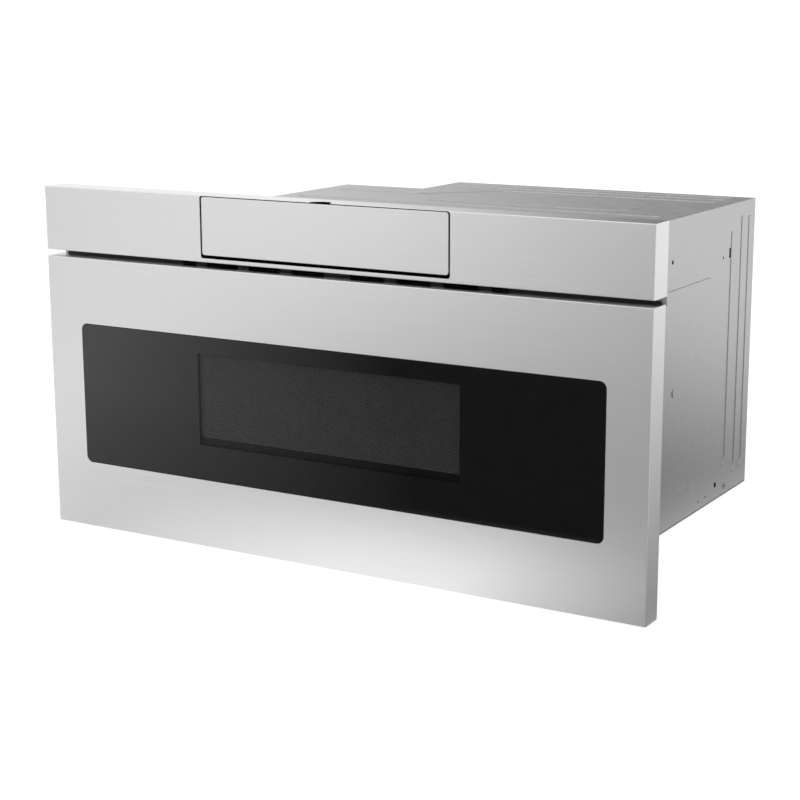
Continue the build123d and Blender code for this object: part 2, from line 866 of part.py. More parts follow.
core_near = supply_depth - core_length / 2
core_far = supply_depth + core_length / 2
core_right = core_left + core_width
core_top = on_base + core_height
core_limb = 20.0
coil_bulge = 5.0
coil_fit = 0.5

with BuildPart() as transformer_core:
    block((core_left, core_right), (core_near, core_far), (on_base, core_top))
    left_window = (core_left + core_limb, core_x - core_limb / 2)
    right_window = (core_x + core_limb / 2, core_right - core_limb)
    window_z = (on_base + core_limb, core_top - core_limb)
    for window_x in (left_window, right_window):
        block(window_x, (core_near - sheet, core_far + sheet), window_z, Mode.SUBTRACT)
write(transformer_core, "transformer_core")

with BuildPart() as transformer_coils:
    coil_band = (on_base + core_limb + coil_fit, core_top - core_limb - coil_fit)
    block(
        (core_left + core_limb + coil_fit, core_right - core_limb - coil_fit),
        (core_near - coil_bulge, core_far + coil_bulge),
        coil_band,
    )
    block(
        (core_x - core_limb / 2, core_x + core_limb / 2),
        (core_near, core_far),
        (on_base, core_top),
        mode=Mode.SUBTRACT,
    )
write(transformer_coils, "transformer_coils")

terminal_height = 9.0
terminal_half = 3.0
terminal_offset = 10.8
terminal_sheet = 0.8
capacitor_top = magnetron_bottom - capacitor_head_room

with BuildPart() as hv_capacitor:
    with BuildSketch(Plane.XY.offset(on_base)):
        with Locations((capacitor_x, y_at(supply_depth))):
            SlotOverall(capacitor_width, capacitor_length)
    extrude(amount=capacitor_top - on_base)
    for terminal in (-1, 1):
        terminal_x = capacitor_x + terminal * terminal_offset
        block(
            (terminal_x - terminal_half, terminal_x + terminal_half),
            (supply_depth - terminal_sheet / 2, supply_depth + terminal_sheet / 2),
            (capacitor_top, capacitor_top + terminal_height),
        )
write(hv_capacitor, "hv_capacitor")

# The fan turns about an x axis beside the magnetron and blows through its fins.
shroud_sheet = 1.2
shroud_margin = 6.0
shroud_half = fan_radius + shroud_margin
shroud_front_x = half_magnetron
shroud_plate_x = fan_x - 2 * shroud_sheet
motor_face_x = fan_x + fan_width + fan_motor_gap
fan_hub_radius = 9.0
fan_seat = 8.0
arm_half = 3.0

with BuildPart() as fan_shroud:
    tube_walls(
        (shroud_front_x, shroud_plate_x + shroud_sheet),
        (fan_depth - shroud_half, fan_depth + shroud_half),
        (fan_rise - shroud_half, fan_rise + shroud_half),
        shroud_sheet,
        "x",
    )
    block(
        (shroud_plate_x, shroud_plate_x + shroud_sheet),
        (fan_depth - shroud_half, fan_depth + shroud_half),
        (fan_rise - shroud_half, fan_rise + shroud_half),
    )
    mouth_span = (shroud_plate_x - sheet, shroud_plate_x + 2 * sheet)
    rod_x(fan_radius, mouth_span, fan_depth, fan_rise, Mode.SUBTRACT)
    for arm in (-1, 1):
        arm_z = fan_rise + arm * (shroud_half - arm_half)
        arm_reach = (fan_rise + arm * (fan_motor_radius - arm_half), fan_rise + arm * shroud_half)
        block(
            (shroud_plate_x, motor_face_x),
            (fan_depth - arm_half, fan_depth + arm_half),
            (arm_z - arm_half, arm_z + arm_half),
        )
        block(
            (motor_face_x - shroud_sheet, motor_face_x),
            (fan_depth - arm_half, fan_depth + arm_half),
            tuple(sorted(arm_reach)),
        )
write(fan_shroud, "fan_shroud")

with BuildPart() as fan_blade:
    rod_x(fan_hub_radius, (fan_x, fan_x + fan_width), fan_depth, fan_rise)
    rod_x(fan_shaft_radius, (fan_x, motor_face_x + fan_seat), fan_depth, fan_rise)
    blade_length = fan_radius - fan_tip_gap - fan_hub_radius / 2
    for blade in range(fan_blades):
        turn = Rot(blade * 360 / fan_blades, 0, 0)
        tilt = Pos(0, 0, fan_hub_radius / 2 + blade_length / 2) * Rot(0, 0, fan_pitch)
        place = Pos(fan_x + fan_width / 2, y_at(fan_depth), fan_rise) * turn * tilt
        with Locations(place):
            Box(blade_sheet, 2 * fan_hub_radius, blade_length)
write(fan_blade, "fan_blade")

with BuildPart() as fan_motor:
    rod_x(fan_motor_radius, (motor_face_x, motor_face_x + fan_motor_length), fan_depth, fan_rise)
    rod_x(
        fan_shaft_radius + shaft_gap,
        (motor_face_x - sheet, motor_face_x + fan_seat + running_gap),
        fan_depth,
        fan_rise,
        Mode.SUBTRACT,
    )
write(fan_motor, "fan_motor")

duct_side_inset = 42.5
duct_rise = 37.0
duct_lap = 5.0
duct_length = 105.0

with BuildPart() as exhaust_duct:
    duct_half = half_chamber - duct_side_inset
    duct_depth = (frame_back, frame_back + duct_length)
    duct_z = (chamber_roof + duct_rise, fascia_bottom + duct_lap)
    tube_walls((-duct_half, duct_half), duct_depth, duct_z, sheet, "y")
write(exhaust_duct, "exhaust_duct")

lamp_socket_radius = 9.0
lamp_bulb_radius = 7.0
lamp_plate_half = 18.0
lamp_reach = 30.0

with BuildPart() as oven_lamp:
    lamp_wall = half_chamber + sheet
    tube_walls(
        (lamp_wall, lamp_wall + lamp_reach),
        (lamp_depth - lamp_plate_half, lamp_depth + lamp_plate_half),
        (lamp_rise - lamp_plate_half, lamp_rise + lamp_plate_half),
        sheet,
        "x",
    )
    block(
        (lamp_wall + lamp_reach - sheet, lamp_wall + lamp_reach),
        (lamp_depth - lamp_plate_half, lamp_depth + lamp_plate_half),
        (lamp_rise - lamp_plate_half, lamp_rise + lamp_plate_half),
    )
    rod_x(lamp_socket_radius, (lamp_wall + lamp_reach / 2, lamp_wall + lamp_reach), lamp_depth, lamp_rise)
    rod_x(lamp_bulb_radius, (lamp_wall + 2 * sheet, lamp_wall + lamp_reach / 2), lamp_depth, lamp_rise)
write(oven_lamp, "oven_lamp")

cutout_radius = 8.0
cutout_height = 11.0
cutout_foot_half = 12.8
cutout_side_inset = 77.5
cutout_back_room = 90.0
cutout_x = half_chamber - cutout_side_inset
cutout_depth = chamber_back - cutout_back_room

with BuildPart() as thermal_cutouts:
    for _, side in sides:
        rod_z(cutout_radius, side * cutout_x, cutout_depth, (chamber_roof, chamber_roof + cutout_height))
        block(
            (side * cutout_x - cutout_foot_half, side * cutout_x + cutout_foot_half),
            (cutout_depth - cutout_radius / 2, cutout_depth + cutout_radius / 2),
            (chamber_roof, chamber_roof + blade_sheet),
        )
write(thermal_cutouts, "thermal_cutouts")

board_standoff = 8.0
board_post_radius = 3.0
post_inset = 7.0
power_board_drop = 67.0
power_board_height = 180.0
power_board_back_inset = 8.8
power_board_length = 82.0
relay_count = 4
relay_width = 16.0
relay_length = 20.0
relay_height = 26.0
board_coil_width = 28.0
board_coil_length = 32.0
board_coil_height = 40.0

with BuildPart() as power_board:
    board_x = side_inner - board_standoff
    board_face = board_x - board_thickness
    board_far = unit_depth - power_board_back_inset
    board_near = board_far - power_board_length
    board_top = chassis_top - power_board_drop
    board_bottom = board_top - power_board_height
    block((board_face, board_x), (board_near, board_far), (board_bottom, board_top))
    for post_depth in (board_near + post_inset, board_far - post_inset):
        for post_z in (board_bottom + post_inset, board_top - post_inset):
            rod_x(board_post_radius, (board_x, side_inner), post_depth, post_z)
    relay_near = board_near + 2 * post_inset
    for relay in range(relay_count):
        relay_z = board_bottom + 2 * post_inset + relay * (relay_height + post_inset)
        block(
            (board_face - relay_width, board_face),
            (relay_near, relay_near + relay_length),
            (relay_z, relay_z + relay_height),
        )
    block(
        (board_face - board_coil_width, board_face),
        (board_far - post_inset - board_coil_length, board_far - post_inset),
        (board_top - 2 * post_inset - board_coil_height, board_top - 2 * post_inset),
    )
write(power_board, "power_board")

filter_side_inset = 65.0
filter_x = half_chassis - filter_side_inset
filter_width = 96.0
filter_length = 66.0
choke_radius = 17.0
choke_hole = 7.0
choke_height = 15.0
film_width = 26.0
film_length = 12.0
film_height = 20.0

with BuildPart() as noise_filter:
    filter_bottom = on_base + board_standoff
    filter_top = filter_bottom + board_thickness
    filter_near = supply_depth - filter_length / 2
    filter_far = supply_depth + filter_length / 2
    filter_left = filter_x - filter_width / 2
    filter_right = filter_x + filter_width / 2
    block((filter_left, filter_right), (filter_near, filter_far), (filter_bottom, filter_top))
    for post_x in (filter_left + post_inset, filter_right - post_inset):
        for post_depth in (filter_near + post_inset, filter_far - post_inset):
            rod_z(board_post_radius, post_x, post_depth, (on_base, filter_bottom))
    rod_z(choke_radius, filter_x - choke_radius, supply_depth, (filter_top, filter_top + choke_height))
    rod_z(
        choke_hole,
        filter_x - choke_radius,
        supply_depth,
        (filter_top, filter_top + choke_height + sheet),
        Mode.SUBTRACT,
    )
    block(
        (filter_x + post_inset, filter_x + post_inset + film_width),
        (supply_depth - film_length / 2, supply_depth + film_length / 2),
        (filter_top, filter_top + film_height),
    )
write(noise_filter, "noise_filter")

# ---------------------------------------------------------------- rack drive

pitch_radius = gear_module * pinion_teeth / 2
pinion_x = rack_pitch_x + pitch_radius
base_radius = pitch_radius * math.cos(math.radians(pressure_angle))
tip_radius = pitch_radius + gear_module
root_radius = pitch_radius - rack_addendum - root_clearance
tooth_width = math.pi * gear_module / 2 - tooth_backlash
flank_points = 6


def involute_angle(radius):
    """Return the polar angle of a base-circle involute at a radius."""
    ratio = math.sqrt((radius / base_radius) ** 2 - 1)
    return ratio - math.atan(ratio)


def pinion_outline():
    """Return the points of one tooth of the pinion, from root to root, pointing along +X."""
    half_angle = tooth_width / 2 / pitch_radius + involute_angle(pitch_radius)
    flank = [(root_radius, half_angle)]
    for step in range(flank_points):
        radius = base_radius + (tip_radius - base_radius) * step / (flank_points - 1)
        flank.append((radius, half_angle - involute_angle(radius)))
    lower = [(radius * math.cos(angle), -radius * math.sin(angle)) for radius, angle in flank]
    upper = [(x, -y) for x, y in reversed(lower)]
    return lower + upper


with BuildPart() as drive_pinion:
    rod_z(root_radius, pinion_x, pinion_depth, (rack_bottom, rack_top))
    with BuildSketch(Plane.XY.offset(rack_bottom)):
        with Locations((pinion_x, y_at(pinion_depth))):
            with PolarLocations(0, pinion_teeth, start_angle=180):
                Polygon(*([(0, 0)] + pinion_outline()), align=None)
    extrude(amount=rack_height)
    rod_z(pinion_shaft_radius, pinion_x, pinion_depth, (rack_bottom - pinion_shaft_length, rack_bottom))
write(drive_pinion, "drive_pinion")

gearbox_near = frame_back + gearbox_room

with BuildPart() as drive_motor:
    block(
        (pinion_x - gearbox_width / 2, pinion_x + gearbox_width / 2),
        (gearbox_near, gearbox_near + gearbox_length),
        (on_base, on_base + gearbox_height),
    )
    rod_y(
        drive_can_radius,
        pinion_x,
        (gearbox_near + gearbox_length, gearbox_near + gearbox_length + drive_can_length),
        on_base + gearbox_height / 2,
    )
    rod_z(
        pinion_shaft_radius + shaft_gap,
        pinion_x,
        pinion_depth,
        (rack_bottom - pinion_shaft_length - running_gap, on_base + gearbox_height + sheet),
        Mode.SUBTRACT,
    )
write(drive_motor, "drive_motor")

rack_pitch = math.pi * gear_module
rack_foot_thickness = fascia_depth - drawer_front_depth - running_gap
rack_foot_margin = 8.0
rack_half_gap = (math.pi * gear_module - tooth_width) / 2
tooth_slope = math.tan(math.radians(pressure_angle))


def rack_gap(centre_y):
    """Return the outline of the space between two rack teeth, in x and y."""
    tip_x = rack_pitch_x + rack_addendum
    root_x = rack_pitch_x - gear_module - root_clearance
    tip_half = rack_half_gap + rack_addendum * tooth_slope
    root_half = rack_half_gap - (gear_module + root_clearance) * tooth_slope
    return [
        (tip_x + sheet, centre_y - tip_half - sheet * tooth_slope),
        (tip_x + sheet, centre_y + tip_half + sheet * tooth_slope),
        (root_x, centre_y + root_half),
        (root_x, centre_y - root_half),
    ]


rack_toothed_start = frame_back + cut_margin
gap_first = math.ceil((rack_toothed_start - pinion_depth) / rack_pitch)
rack_end_depth = chamber_back - rack_end_room
gap_last = math.floor((rack_end_depth - cut_margin - pinion_depth) / rack_pitch)

with BuildPart() as drawer_rack:
    block((rack_back_x, rack_pitch_x + rack_addendum), (door_rear, rack_end_depth), (rack_bottom, rack_top))
    block(
        (rack_back_x - rack_foot_margin, rack_pitch_x + rack_addendum + rack_foot_margin),
        (door_rear, door_rear + rack_foot_thickness),
        (rack_bottom - rack_foot_margin / 2, rack_top + rack_foot_margin / 2),
    )
    with BuildSketch(Plane.XY.offset(rack_bottom)):
        for gap in range(gap_first, gap_last + 1):
            Polygon(*rack_gap(y_at(pinion_depth + gap * rack_pitch)), align=None)
    extrude(amount=rack_height, mode=Mode.SUBTRACT)
write(drawer_rack, "drawer_rack")

guide_left = rack_back_x - running_gap
guide_right = rack_pitch_x + rack_addendum + running_gap

with BuildPart() as rack_guide:
    block(
        (guide_left - guide_wall, guide_right + guide_wall),
        (guide_depth, guide_depth + guide_length),
        (on_base, rack_bottom + rack_height / 2),
    )
    block(
        (guide_left, guide_right),
        (guide_depth - sheet, guide_depth + guide_length + sheet),
        (rack_bottom - running_gap, rack_top),
        mode=Mode.SUBTRACT,
    )
    block(
        (guide_left - guide_wall - rack_foot_margin, guide_right + guide_wall + rack_foot_margin),
        (guide_depth, guide_depth + guide_length),
        (on_base, on_base + guide_wall),
    )
write(rack_guide, "rack_guide")

# ---------------------------------------------------------------- drawer slides

slide_end = chamber_back - slide_end_room
middle_height = slide_height - 2 * slide_sheet - 2 * slide_gap
inner_height = middle_height - 2 * slide_sheet - 2 * slide_gap
middle_web = side_inner - slide_sheet - slide_gap
inner_reach = middle_web - slide_sheet - slide_gap


def slide_channel(side, web_near, web_far, lip, height, depth):
    """Add a C channel whose web lies between two x distances and whose flanges reach to lip."""
    low = slide_centre_rise - height / 2
    high = slide_centre_rise + height / 2
    block(span(side, web_near, web_far), depth, (low, high))
    for flange in ((low, low + slide_sheet), (high - slide_sheet, high)):
        block(span(side, min(web_near, lip), max(web_far, lip)), depth, flange)


for name, side in sides:
    with BuildPart() as slide_outer:
        slide_channel(
            side,
            side_inner - slide_sheet,
            side_inner,
            slide_face,
            slide_height,
            (slide_start, slide_end),
        )
    write(slide_outer, f"slide_outer_{name}")

    with BuildPart() as slide_middle:
        slide_channel(
            side,
            middle_web - slide_sheet,
            middle_web,
            slide_face,
            middle_height,
            (slide_start, slide_end - slide_step),
        )
    write(slide_middle, f"slide_middle_{name}")

    with BuildPart() as slide_inner:
        slide_channel(
            side,
            slide_face,
            slide_face + slide_sheet,
            inner_reach,
            inner_height,
            (slide_start - slide_step, slide_end - 2 * slide_step),
        )
    write(slide_inner, f"slide_inner_{name}")

with BuildPart() as slide_brackets:
    bracket_band = (slide_centre_rise - bracket_height / 2, slide_centre_rise + bracket_height / 2)
    for _, side in sides:
        block(
            span(side, slide_face - bracket_sheet, slide_face),
            (door_rear, door_rear + bracket_length),
            bracket_band,
        )
        block(
            span(side, slide_face - bracket_foot, slide_face),
            (door_rear, door_rear + bracket_sheet),
            bracket_band,
        )
write(slide_brackets, "slide_brackets")

# ---------------------------------------------------------------- drawer interlocks

hook_end_depth = 47.7
switch_near = 50.0
switch_length = 30.0
switch_half_width = 8.0
switch_margin = 4.0
plunger_half = 2.0
plunger_rise = hook_bottom + hook_height / 2
plunger_seat = 7.0
plunger_travel = 1.5
switch_bottom = hook_bottom - switch_margin
switch_top = hook_bottom + hook_height + switch_margin

with BuildPart() as latch_hooks:
    for _, side in sides:
        block(
            span(side, hook_x - hook_thickness / 2, hook_x + hook_thickness / 2),
            (door_rear, hook_end_depth),
            (hook_bottom, hook_bottom + hook_height),
        )
        block(
            span(side, hook_x - hook_foot, hook_x + hook_foot),
            (door_rear, door_rear + bracket_sheet),
            (hook_bottom - hook_foot / 2, hook_bottom + hook_height + hook_foot / 2),
        )
write(latch_hooks, "latch_hooks")

with BuildPart() as interlock_switches:
    channel_half = plunger_half + running_gap
    for _, side in sides:
        block(
            span(side, hook_x - switch_half_width, hook_x + switch_half_width),
            (switch_near, switch_near + switch_length),
            (switch_bottom, switch_top),
        )
        block(
            span(side, hook_x + switch_half_width, hook_x + switch_half_width + bracket_sheet),
            (frame_back, switch_near + switch_length),
            (switch_bottom, switch_top),
        )
        block(
            span(side, hook_x + switch_half_width, hook_x + 2 * switch_half_width),
            (frame_back, frame_back + bracket_sheet),
            (switch_bottom, switch_top),
        )
        block(
            span(side, hook_x - channel_half, hook_x + channel_half),
            (switch_near - sheet, switch_near + plunger_seat + plunger_travel + running_gap),
            (plunger_rise - channel_half, plunger_rise + channel_half),
            mode=Mode.SUBTRACT,
        )
write(interlock_switches, "interlock_switches")

for name, side in sides:
    with BuildPart() as plunger:
        block(
            span(side, hook_x - plunger_half, hook_x + plunger_half),
            (hook_end_depth + running_gap, switch_near + plunger_seat),
            (plunger_rise - plunger_half, plunger_rise + plunger_half),
        )
    write(plunger, f"switch_plunger_{name}")

# ---------------------------------------------------------------- control fascia

opening_half = flap_width / 2 + flap_side_gap
opening_bottom = flap_bottom - flap_bottom_gap
opening_top = front_top - flap_lip

with BuildPart() as control_fascia:
    block((-half_front, half_front), (0, backplate_front), (fascia_bottom, front_top))
    fillet(control_fascia.faces().sort_by(Axis.Y)[0].edges(), radius=skin_corner)
    block(
        (-half_front + skin, half_front - skin),
        (skin, backplate_front + skin),
        (fascia_bottom + skin, front_top - skin),
        mode=Mode.SUBTRACT,
    )
    rounded_plate(
        2 * opening_half,
        opening_top - opening_bottom,
        flap_corner,
        (opening_top + opening_bottom) / 2,
        (-skin, skin),
        mode=Mode.SUBTRACT,
    )
    rod_z(finger_notch_radius, 0, 0, (front_top - 2 * skin, front_top + skin), Mode.SUBTRACT)
write(control_fascia, "control_fascia")

with BuildPart() as fascia_backplate:
    backplate_span = (backplate_front, fascia_depth)
    backplate_bottom = drawer_front_top - strip_lap
    block((-half_front, half_front), backplate_span, (backplate_bottom, front_top))
    backplate_cut = (backplate_front - sheet, fascia_depth + sheet)
    block(
        (-flap_slot_half, flap_slot_half),
        backplate_cut,
        (flap_slot_bottom, flap_slot_top),
        mode=Mode.SUBTRACT,
    )
    cut_vents(backplate_cut)
write(fascia_backplate, "fascia_backplate")

with BuildPart() as vent_strip:
    strip_span = (backplate_front - strip_thickness, backplate_front)
    block(
        (-half_front + strip_end_inset, half_front - strip_end_inset),
        strip_span,
        (backplate_bottom, fascia_bottom),
    )
    cut_vents((backplate_front - strip_thickness - sheet, backplate_front + sheet))
write(vent_strip, "vent_strip")

ear_near = opening_half + ear_gap
ear_half_height = 9.0
ear_foot = 11.0
pin_end = 1.0
pin_reach = ear_near + bracket_sheet + pin_end

with BuildPart() as flap_brackets:
    ear_band = (hinge_z - hinge_boss_radius, hinge_z + ear_half_height)
    for _, side in sides:
        block(
            span(side, ear_near, ear_near + bracket_sheet),
            (hinge_depth - hinge_boss_radius, backplate_front),
            ear_band,
        )
        block(
            span(side, ear_near, ear_near + ear_foot),
            (backplate_front - bracket_sheet, backplate_front),
            ear_band,
        )
        rod_x(
            hinge_pin_radius,
            span(side, ear_near - sheet, ear_near + bracket_sheet + sheet),
            hinge_depth,
            hinge_z,
            Mode.SUBTRACT,
        )
write(flap_brackets, "flap_brackets")

with BuildPart() as flap_hinge_pins:
    for _, side in sides:
        rod_x(hinge_pin_radius, span(side, housing_half - hinge_boss_length, pin_reach), hinge_depth, hinge_z)
write(flap_hinge_pins, "flap_hinge_pins")

# ---------------------------------------------------------------- control flap

with BuildPart() as flap_skin:
    rounded_plate(flap_width, flap_height, flap_corner, (flap_top + flap_bottom) / 2, (0, skin))
    fillet(flap_skin.faces().sort_by(Axis.Y)[0].edges(), radius=flap_edge)
write(flap_skin, "flap_skin")


def below_touch(point, distance):
    """Return the point at a distance square below the touch face."""
    tilt = math.radians(touch_tilt)
    return (point[0] - distance * math.sin(tilt), point[1] - distance * math.cos(tilt))


touch_top = (touch_top_depth, flap_top - touch_top_drop)
housing_low = flap_bottom + housing_bottom_rise
housing_back = (housing_back_depth, flap_bottom + housing_back_rise)
housing_points = [
    (skin, housing_low),
    (skin, touch_top[1]),
    touch_top,
    below_touch(touch_top, touch_thickness),
    below_touch(touch_end, touch_thickness),
    housing_back,
    (housing_foot_depth, housing_low),
]


def wedge(points, half_width, mode=Mode.ADD):
    """Add or cut a prism across the unit from an outline of depths and heights."""
    with BuildSketch(Plane.YZ) as outline:
        Polygon(*[(y_at(depth), z) for depth, z in points], align=None)
    extrude(outline.sketch, amount=half_width, both=True, mode=mode)


with BuildPart() as flap_housing:
    wedge(housing_points, housing_half)
    with BuildSketch(Plane.YZ) as cavity:
        Polygon(*[(y_at(depth), z) for depth, z in housing_points], align=None)
        offset(amount=-housing_wall, kind=Kind.INTERSECTION)
    extrude(cavity.sketch, amount=housing_half - housing_wall, both=True, mode=Mode.SUBTRACT)
    mouth_low = below_touch(touch_end, touch_thickness + 2 * housing_wall)
    wedge(
        [
            below_touch(touch_top, touch_thickness),
            below_touch(touch_end, touch_thickness),
            mouth_low,
            below_touch(touch_top, touch_thickness + 2 * housing_wall),
        ],
        housing_half - board_margin,
        mode=Mode.SUBTRACT,
    )
    for _, side in sides:
        boss_span = span(side, housing_half - hinge_boss_length, housing_half)
        rod_x(hinge_boss_radius, boss_span, hinge_depth, hinge_z)
        rod_x(
            hinge_pin_radius + shaft_gap,
            span(side, housing_half - hinge_boss_length - running_gap, housing_half + sheet),
            hinge_depth,
            hinge_z,
            Mode.SUBTRACT,
        )
write(flap_housing, "flap_housing")

with BuildPart() as control_glass:
    wedge(
        [
            touch_top,
            touch_end,
            below_touch(touch_end, touch_thickness),
            below_touch(touch_top, touch_thickness),
        ],
        flap_width / 2 - touch_end_inset,
    )
write(control_glass, "control_glass")


def along_touch(distance):
    """Return the point of the touch face at a distance from its upper edge."""
    tilt = math.radians(touch_tilt)
    return (touch_top[0] + distance * math.cos(tilt), touch_top[1] - distance * math.sin(tilt))


with BuildPart() as control_board:
    board_start = along_touch(board_margin + housing_wall)
    board_end = along_touch(touch_length - board_margin)
    wedge(
        [
            below_touch(board_start, touch_thickness),
            below_touch(board_end, touch_thickness),
            below_touch(board_end, touch_thickness + board_thickness),
            below_touch(board_start, touch_thickness + board_thickness),
        ],
        housing_half - 2 * board_margin,
    )
write(control_board, "control_board")

# ---------------------------------------------------------------- drawer front

window_height = window_top - window_bottom
window_middle = (window_top + window_bottom) / 2
screen_height = screen_top - screen_bottom
screen_middle = (screen_top + screen_bottom) / 2

with BuildPart() as drawer_skin:
    block((-half_front, half_front), (0, drawer_front_depth), (front_bottom, drawer_front_top))
    fillet(drawer_skin.faces().sort_by(Axis.Y)[0].edges(), radius=skin_corner)
    block(
        (-half_front + skin, half_front - skin),
        (skin, drawer_front_depth + skin),
        (front_bottom + skin, drawer_front_top - skin),
        mode=Mode.SUBTRACT,
    )
    window_cut = (-skin, 2 * skin)
    rounded_plate(window_width, window_height, window_corner, window_middle, window_cut, Mode.SUBTRACT)
write(drawer_skin, "drawer_skin")

with BuildPart() as window_glass:
    rounded_plate(
        window_width - 2 * window_reveal,
        window_height - 2 * window_reveal,
        window_corner - window_reveal,
        window_middle,
        (glass_inset, glass_inset + glass_thickness),
    )
    chamfer(window_glass.faces().sort_by(Axis.Y)[0].edges(), length=glass_edge)
write(window_glass, "window_glass")

with BuildPart() as perforated_screen:
    rounded_plate(
        screen_width,
        screen_height,
        screen_corner,
        screen_middle,
        (glass_inset + glass_thickness, screen_back),
    )
write(perforated_screen, "perforated_screen")

door_plate = 1.2
door_fit = 0.2
rail_inset = 6.0
view_inset = 12.0
side_rib_depth = 12.7

with BuildPart() as door_frame:
    door_half = half_front - skin - door_fit
    door_band = (front_bottom + skin + door_fit, drawer_front_top - skin - door_fit)
    plate_front = door_rear - door_plate
    block((-door_half, door_half), (plate_front, door_rear), door_band)
    tube_walls(
        (-window_width / 2 + rail_inset, window_width / 2 - rail_inset),
        (glass_inset + glass_thickness, plate_front),
        (window_bottom + rail_inset, window_top - rail_inset),
        tube_wall,
        "y",
    )
    view_half = screen_width / 2 - view_inset
    view_band = (screen_bottom + view_inset, screen_top - view_inset)
    block(
        (-view_half - tube_wall, view_half + tube_wall),
        (screen_back, plate_front),
        (view_band[0] - tube_wall, view_band[1] + tube_wall),
    )
    block((-view_half, view_half), (0, door_rear + sheet), view_band, mode=Mode.SUBTRACT)
    for _, side in sides:
        block(
            span(side, window_width / 2 - rail_inset, door_half),
            (plate_front - side_rib_depth, plate_front),
            (window_middle - door_plate / 2, window_middle + door_plate / 2),
        )
write(door_frame, "door_frame")

with BuildPart() as inner_window:
    block(
        (-view_half + door_fit, view_half - door_fit),
        (door_rear - inner_window_thickness, door_rear),
        (view_band[0] + door_fit, view_band[1] - door_fit),
    )
write(inner_window, "inner_window")

with BuildPart() as choke_cover:
    cover_half = half_box + choke_fit
    cover_low = box_bottom - choke_fit
    cover_high = chamber_ceiling - choke_fit
    block(
        (-cover_half - choke_cover_margin, cover_half + choke_cover_margin),
        (door_rear, door_rear + choke_cover_thickness),
        (cover_low - choke_cover_margin / 2, cover_high + choke_cover_margin / 2),
    )
    block(
        (-cover_half, cover_half),
        (door_rear - sheet, door_rear + choke_cover_thickness + sheet),
        (cover_low, cover_high),
        mode=Mode.SUBTRACT,
    )
write(choke_cover, "choke_cover")

# ---------------------------------------------------------------- drawer box

with BuildPart() as drawer_box:
    block((-half_box, half_box), (door_rear, box_back), (box_bottom, box_top))
    fillet(drawer_box.edges().filter_by(Axis.Z).group_by(Axis.Y)[-1], radius=box_corner)
    front_face = drawer_box.faces().sort_by(Axis.Y)[0]
    bottom_edges = drawer_box.faces().sort_by(Axis.Z)[0].edges() - front_face.edges()
    fillet(bottom_edges, radius=box_bottom_radius)
    offset(
        amount=-box_wall,
        openings=[drawer_box.faces().sort_by(Axis.Z)[-1], drawer_box.faces().sort_by(Axis.Y)[0]],
    )
write(drawer_box, "drawer_box")

with BuildPart() as floor_plate:
    tray_bottom = box_bottom + box_wall
    inner_width = 2 * (half_box - box_wall)
    inner_depth = box_back - box_wall - door_rear
    with BuildSketch(Plane.XY.offset(tray_bottom)):
        with Locations((0, y_at(door_rear + inner_depth / 2))):
            RectangleRounded(inner_width - 2 * tray_margin, inner_depth - 2 * tray_margin, tray_corner)
    extrude(amount=tray_thickness)
write(floor_plate, "floor_plate")
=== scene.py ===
"""Looks of the microwave drawer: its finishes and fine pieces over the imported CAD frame."""

from __future__ import annotations

import logging
import math
from dataclasses import dataclass, replace
from enum import Enum

import bmesh
import bpy
from mathutils import Matrix, Vector


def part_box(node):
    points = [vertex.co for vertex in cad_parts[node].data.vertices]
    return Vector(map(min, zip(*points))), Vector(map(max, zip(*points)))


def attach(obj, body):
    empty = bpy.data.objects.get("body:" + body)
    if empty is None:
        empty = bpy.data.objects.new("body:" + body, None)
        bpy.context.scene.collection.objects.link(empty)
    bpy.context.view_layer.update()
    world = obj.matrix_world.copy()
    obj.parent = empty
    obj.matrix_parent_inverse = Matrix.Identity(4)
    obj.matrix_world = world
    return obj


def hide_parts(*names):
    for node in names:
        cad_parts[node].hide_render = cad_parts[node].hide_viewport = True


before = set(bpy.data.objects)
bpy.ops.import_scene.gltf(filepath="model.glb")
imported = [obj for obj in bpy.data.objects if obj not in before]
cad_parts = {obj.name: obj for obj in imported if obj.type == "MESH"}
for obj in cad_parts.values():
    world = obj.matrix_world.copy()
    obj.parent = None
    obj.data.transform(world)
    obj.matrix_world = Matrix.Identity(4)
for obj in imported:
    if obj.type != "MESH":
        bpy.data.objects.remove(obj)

log = logging.getLogger("microwave_drawer")

Colour = tuple[float, float, float]
Triple = tuple[float, float, float]
Span = tuple[float, float]

SAME_LEVEL = 1e-6  # how far apart two heights still count as one, in metres
SAME_LINE = 1e-5  # how far off a line a corner may be, in metres
WEAR_DETAIL = 5.0  # detail of the noise behind an uneven gloss
GRAIN_DETAIL = 2.0  # detail of the noise behind a bump
CIRCLE_SIDES = 32
HEXAGON = 6


class Axis(Enum):
    """The three axes, with their places in a vector."""

    X = 0
    Y = 1
    Z = 2


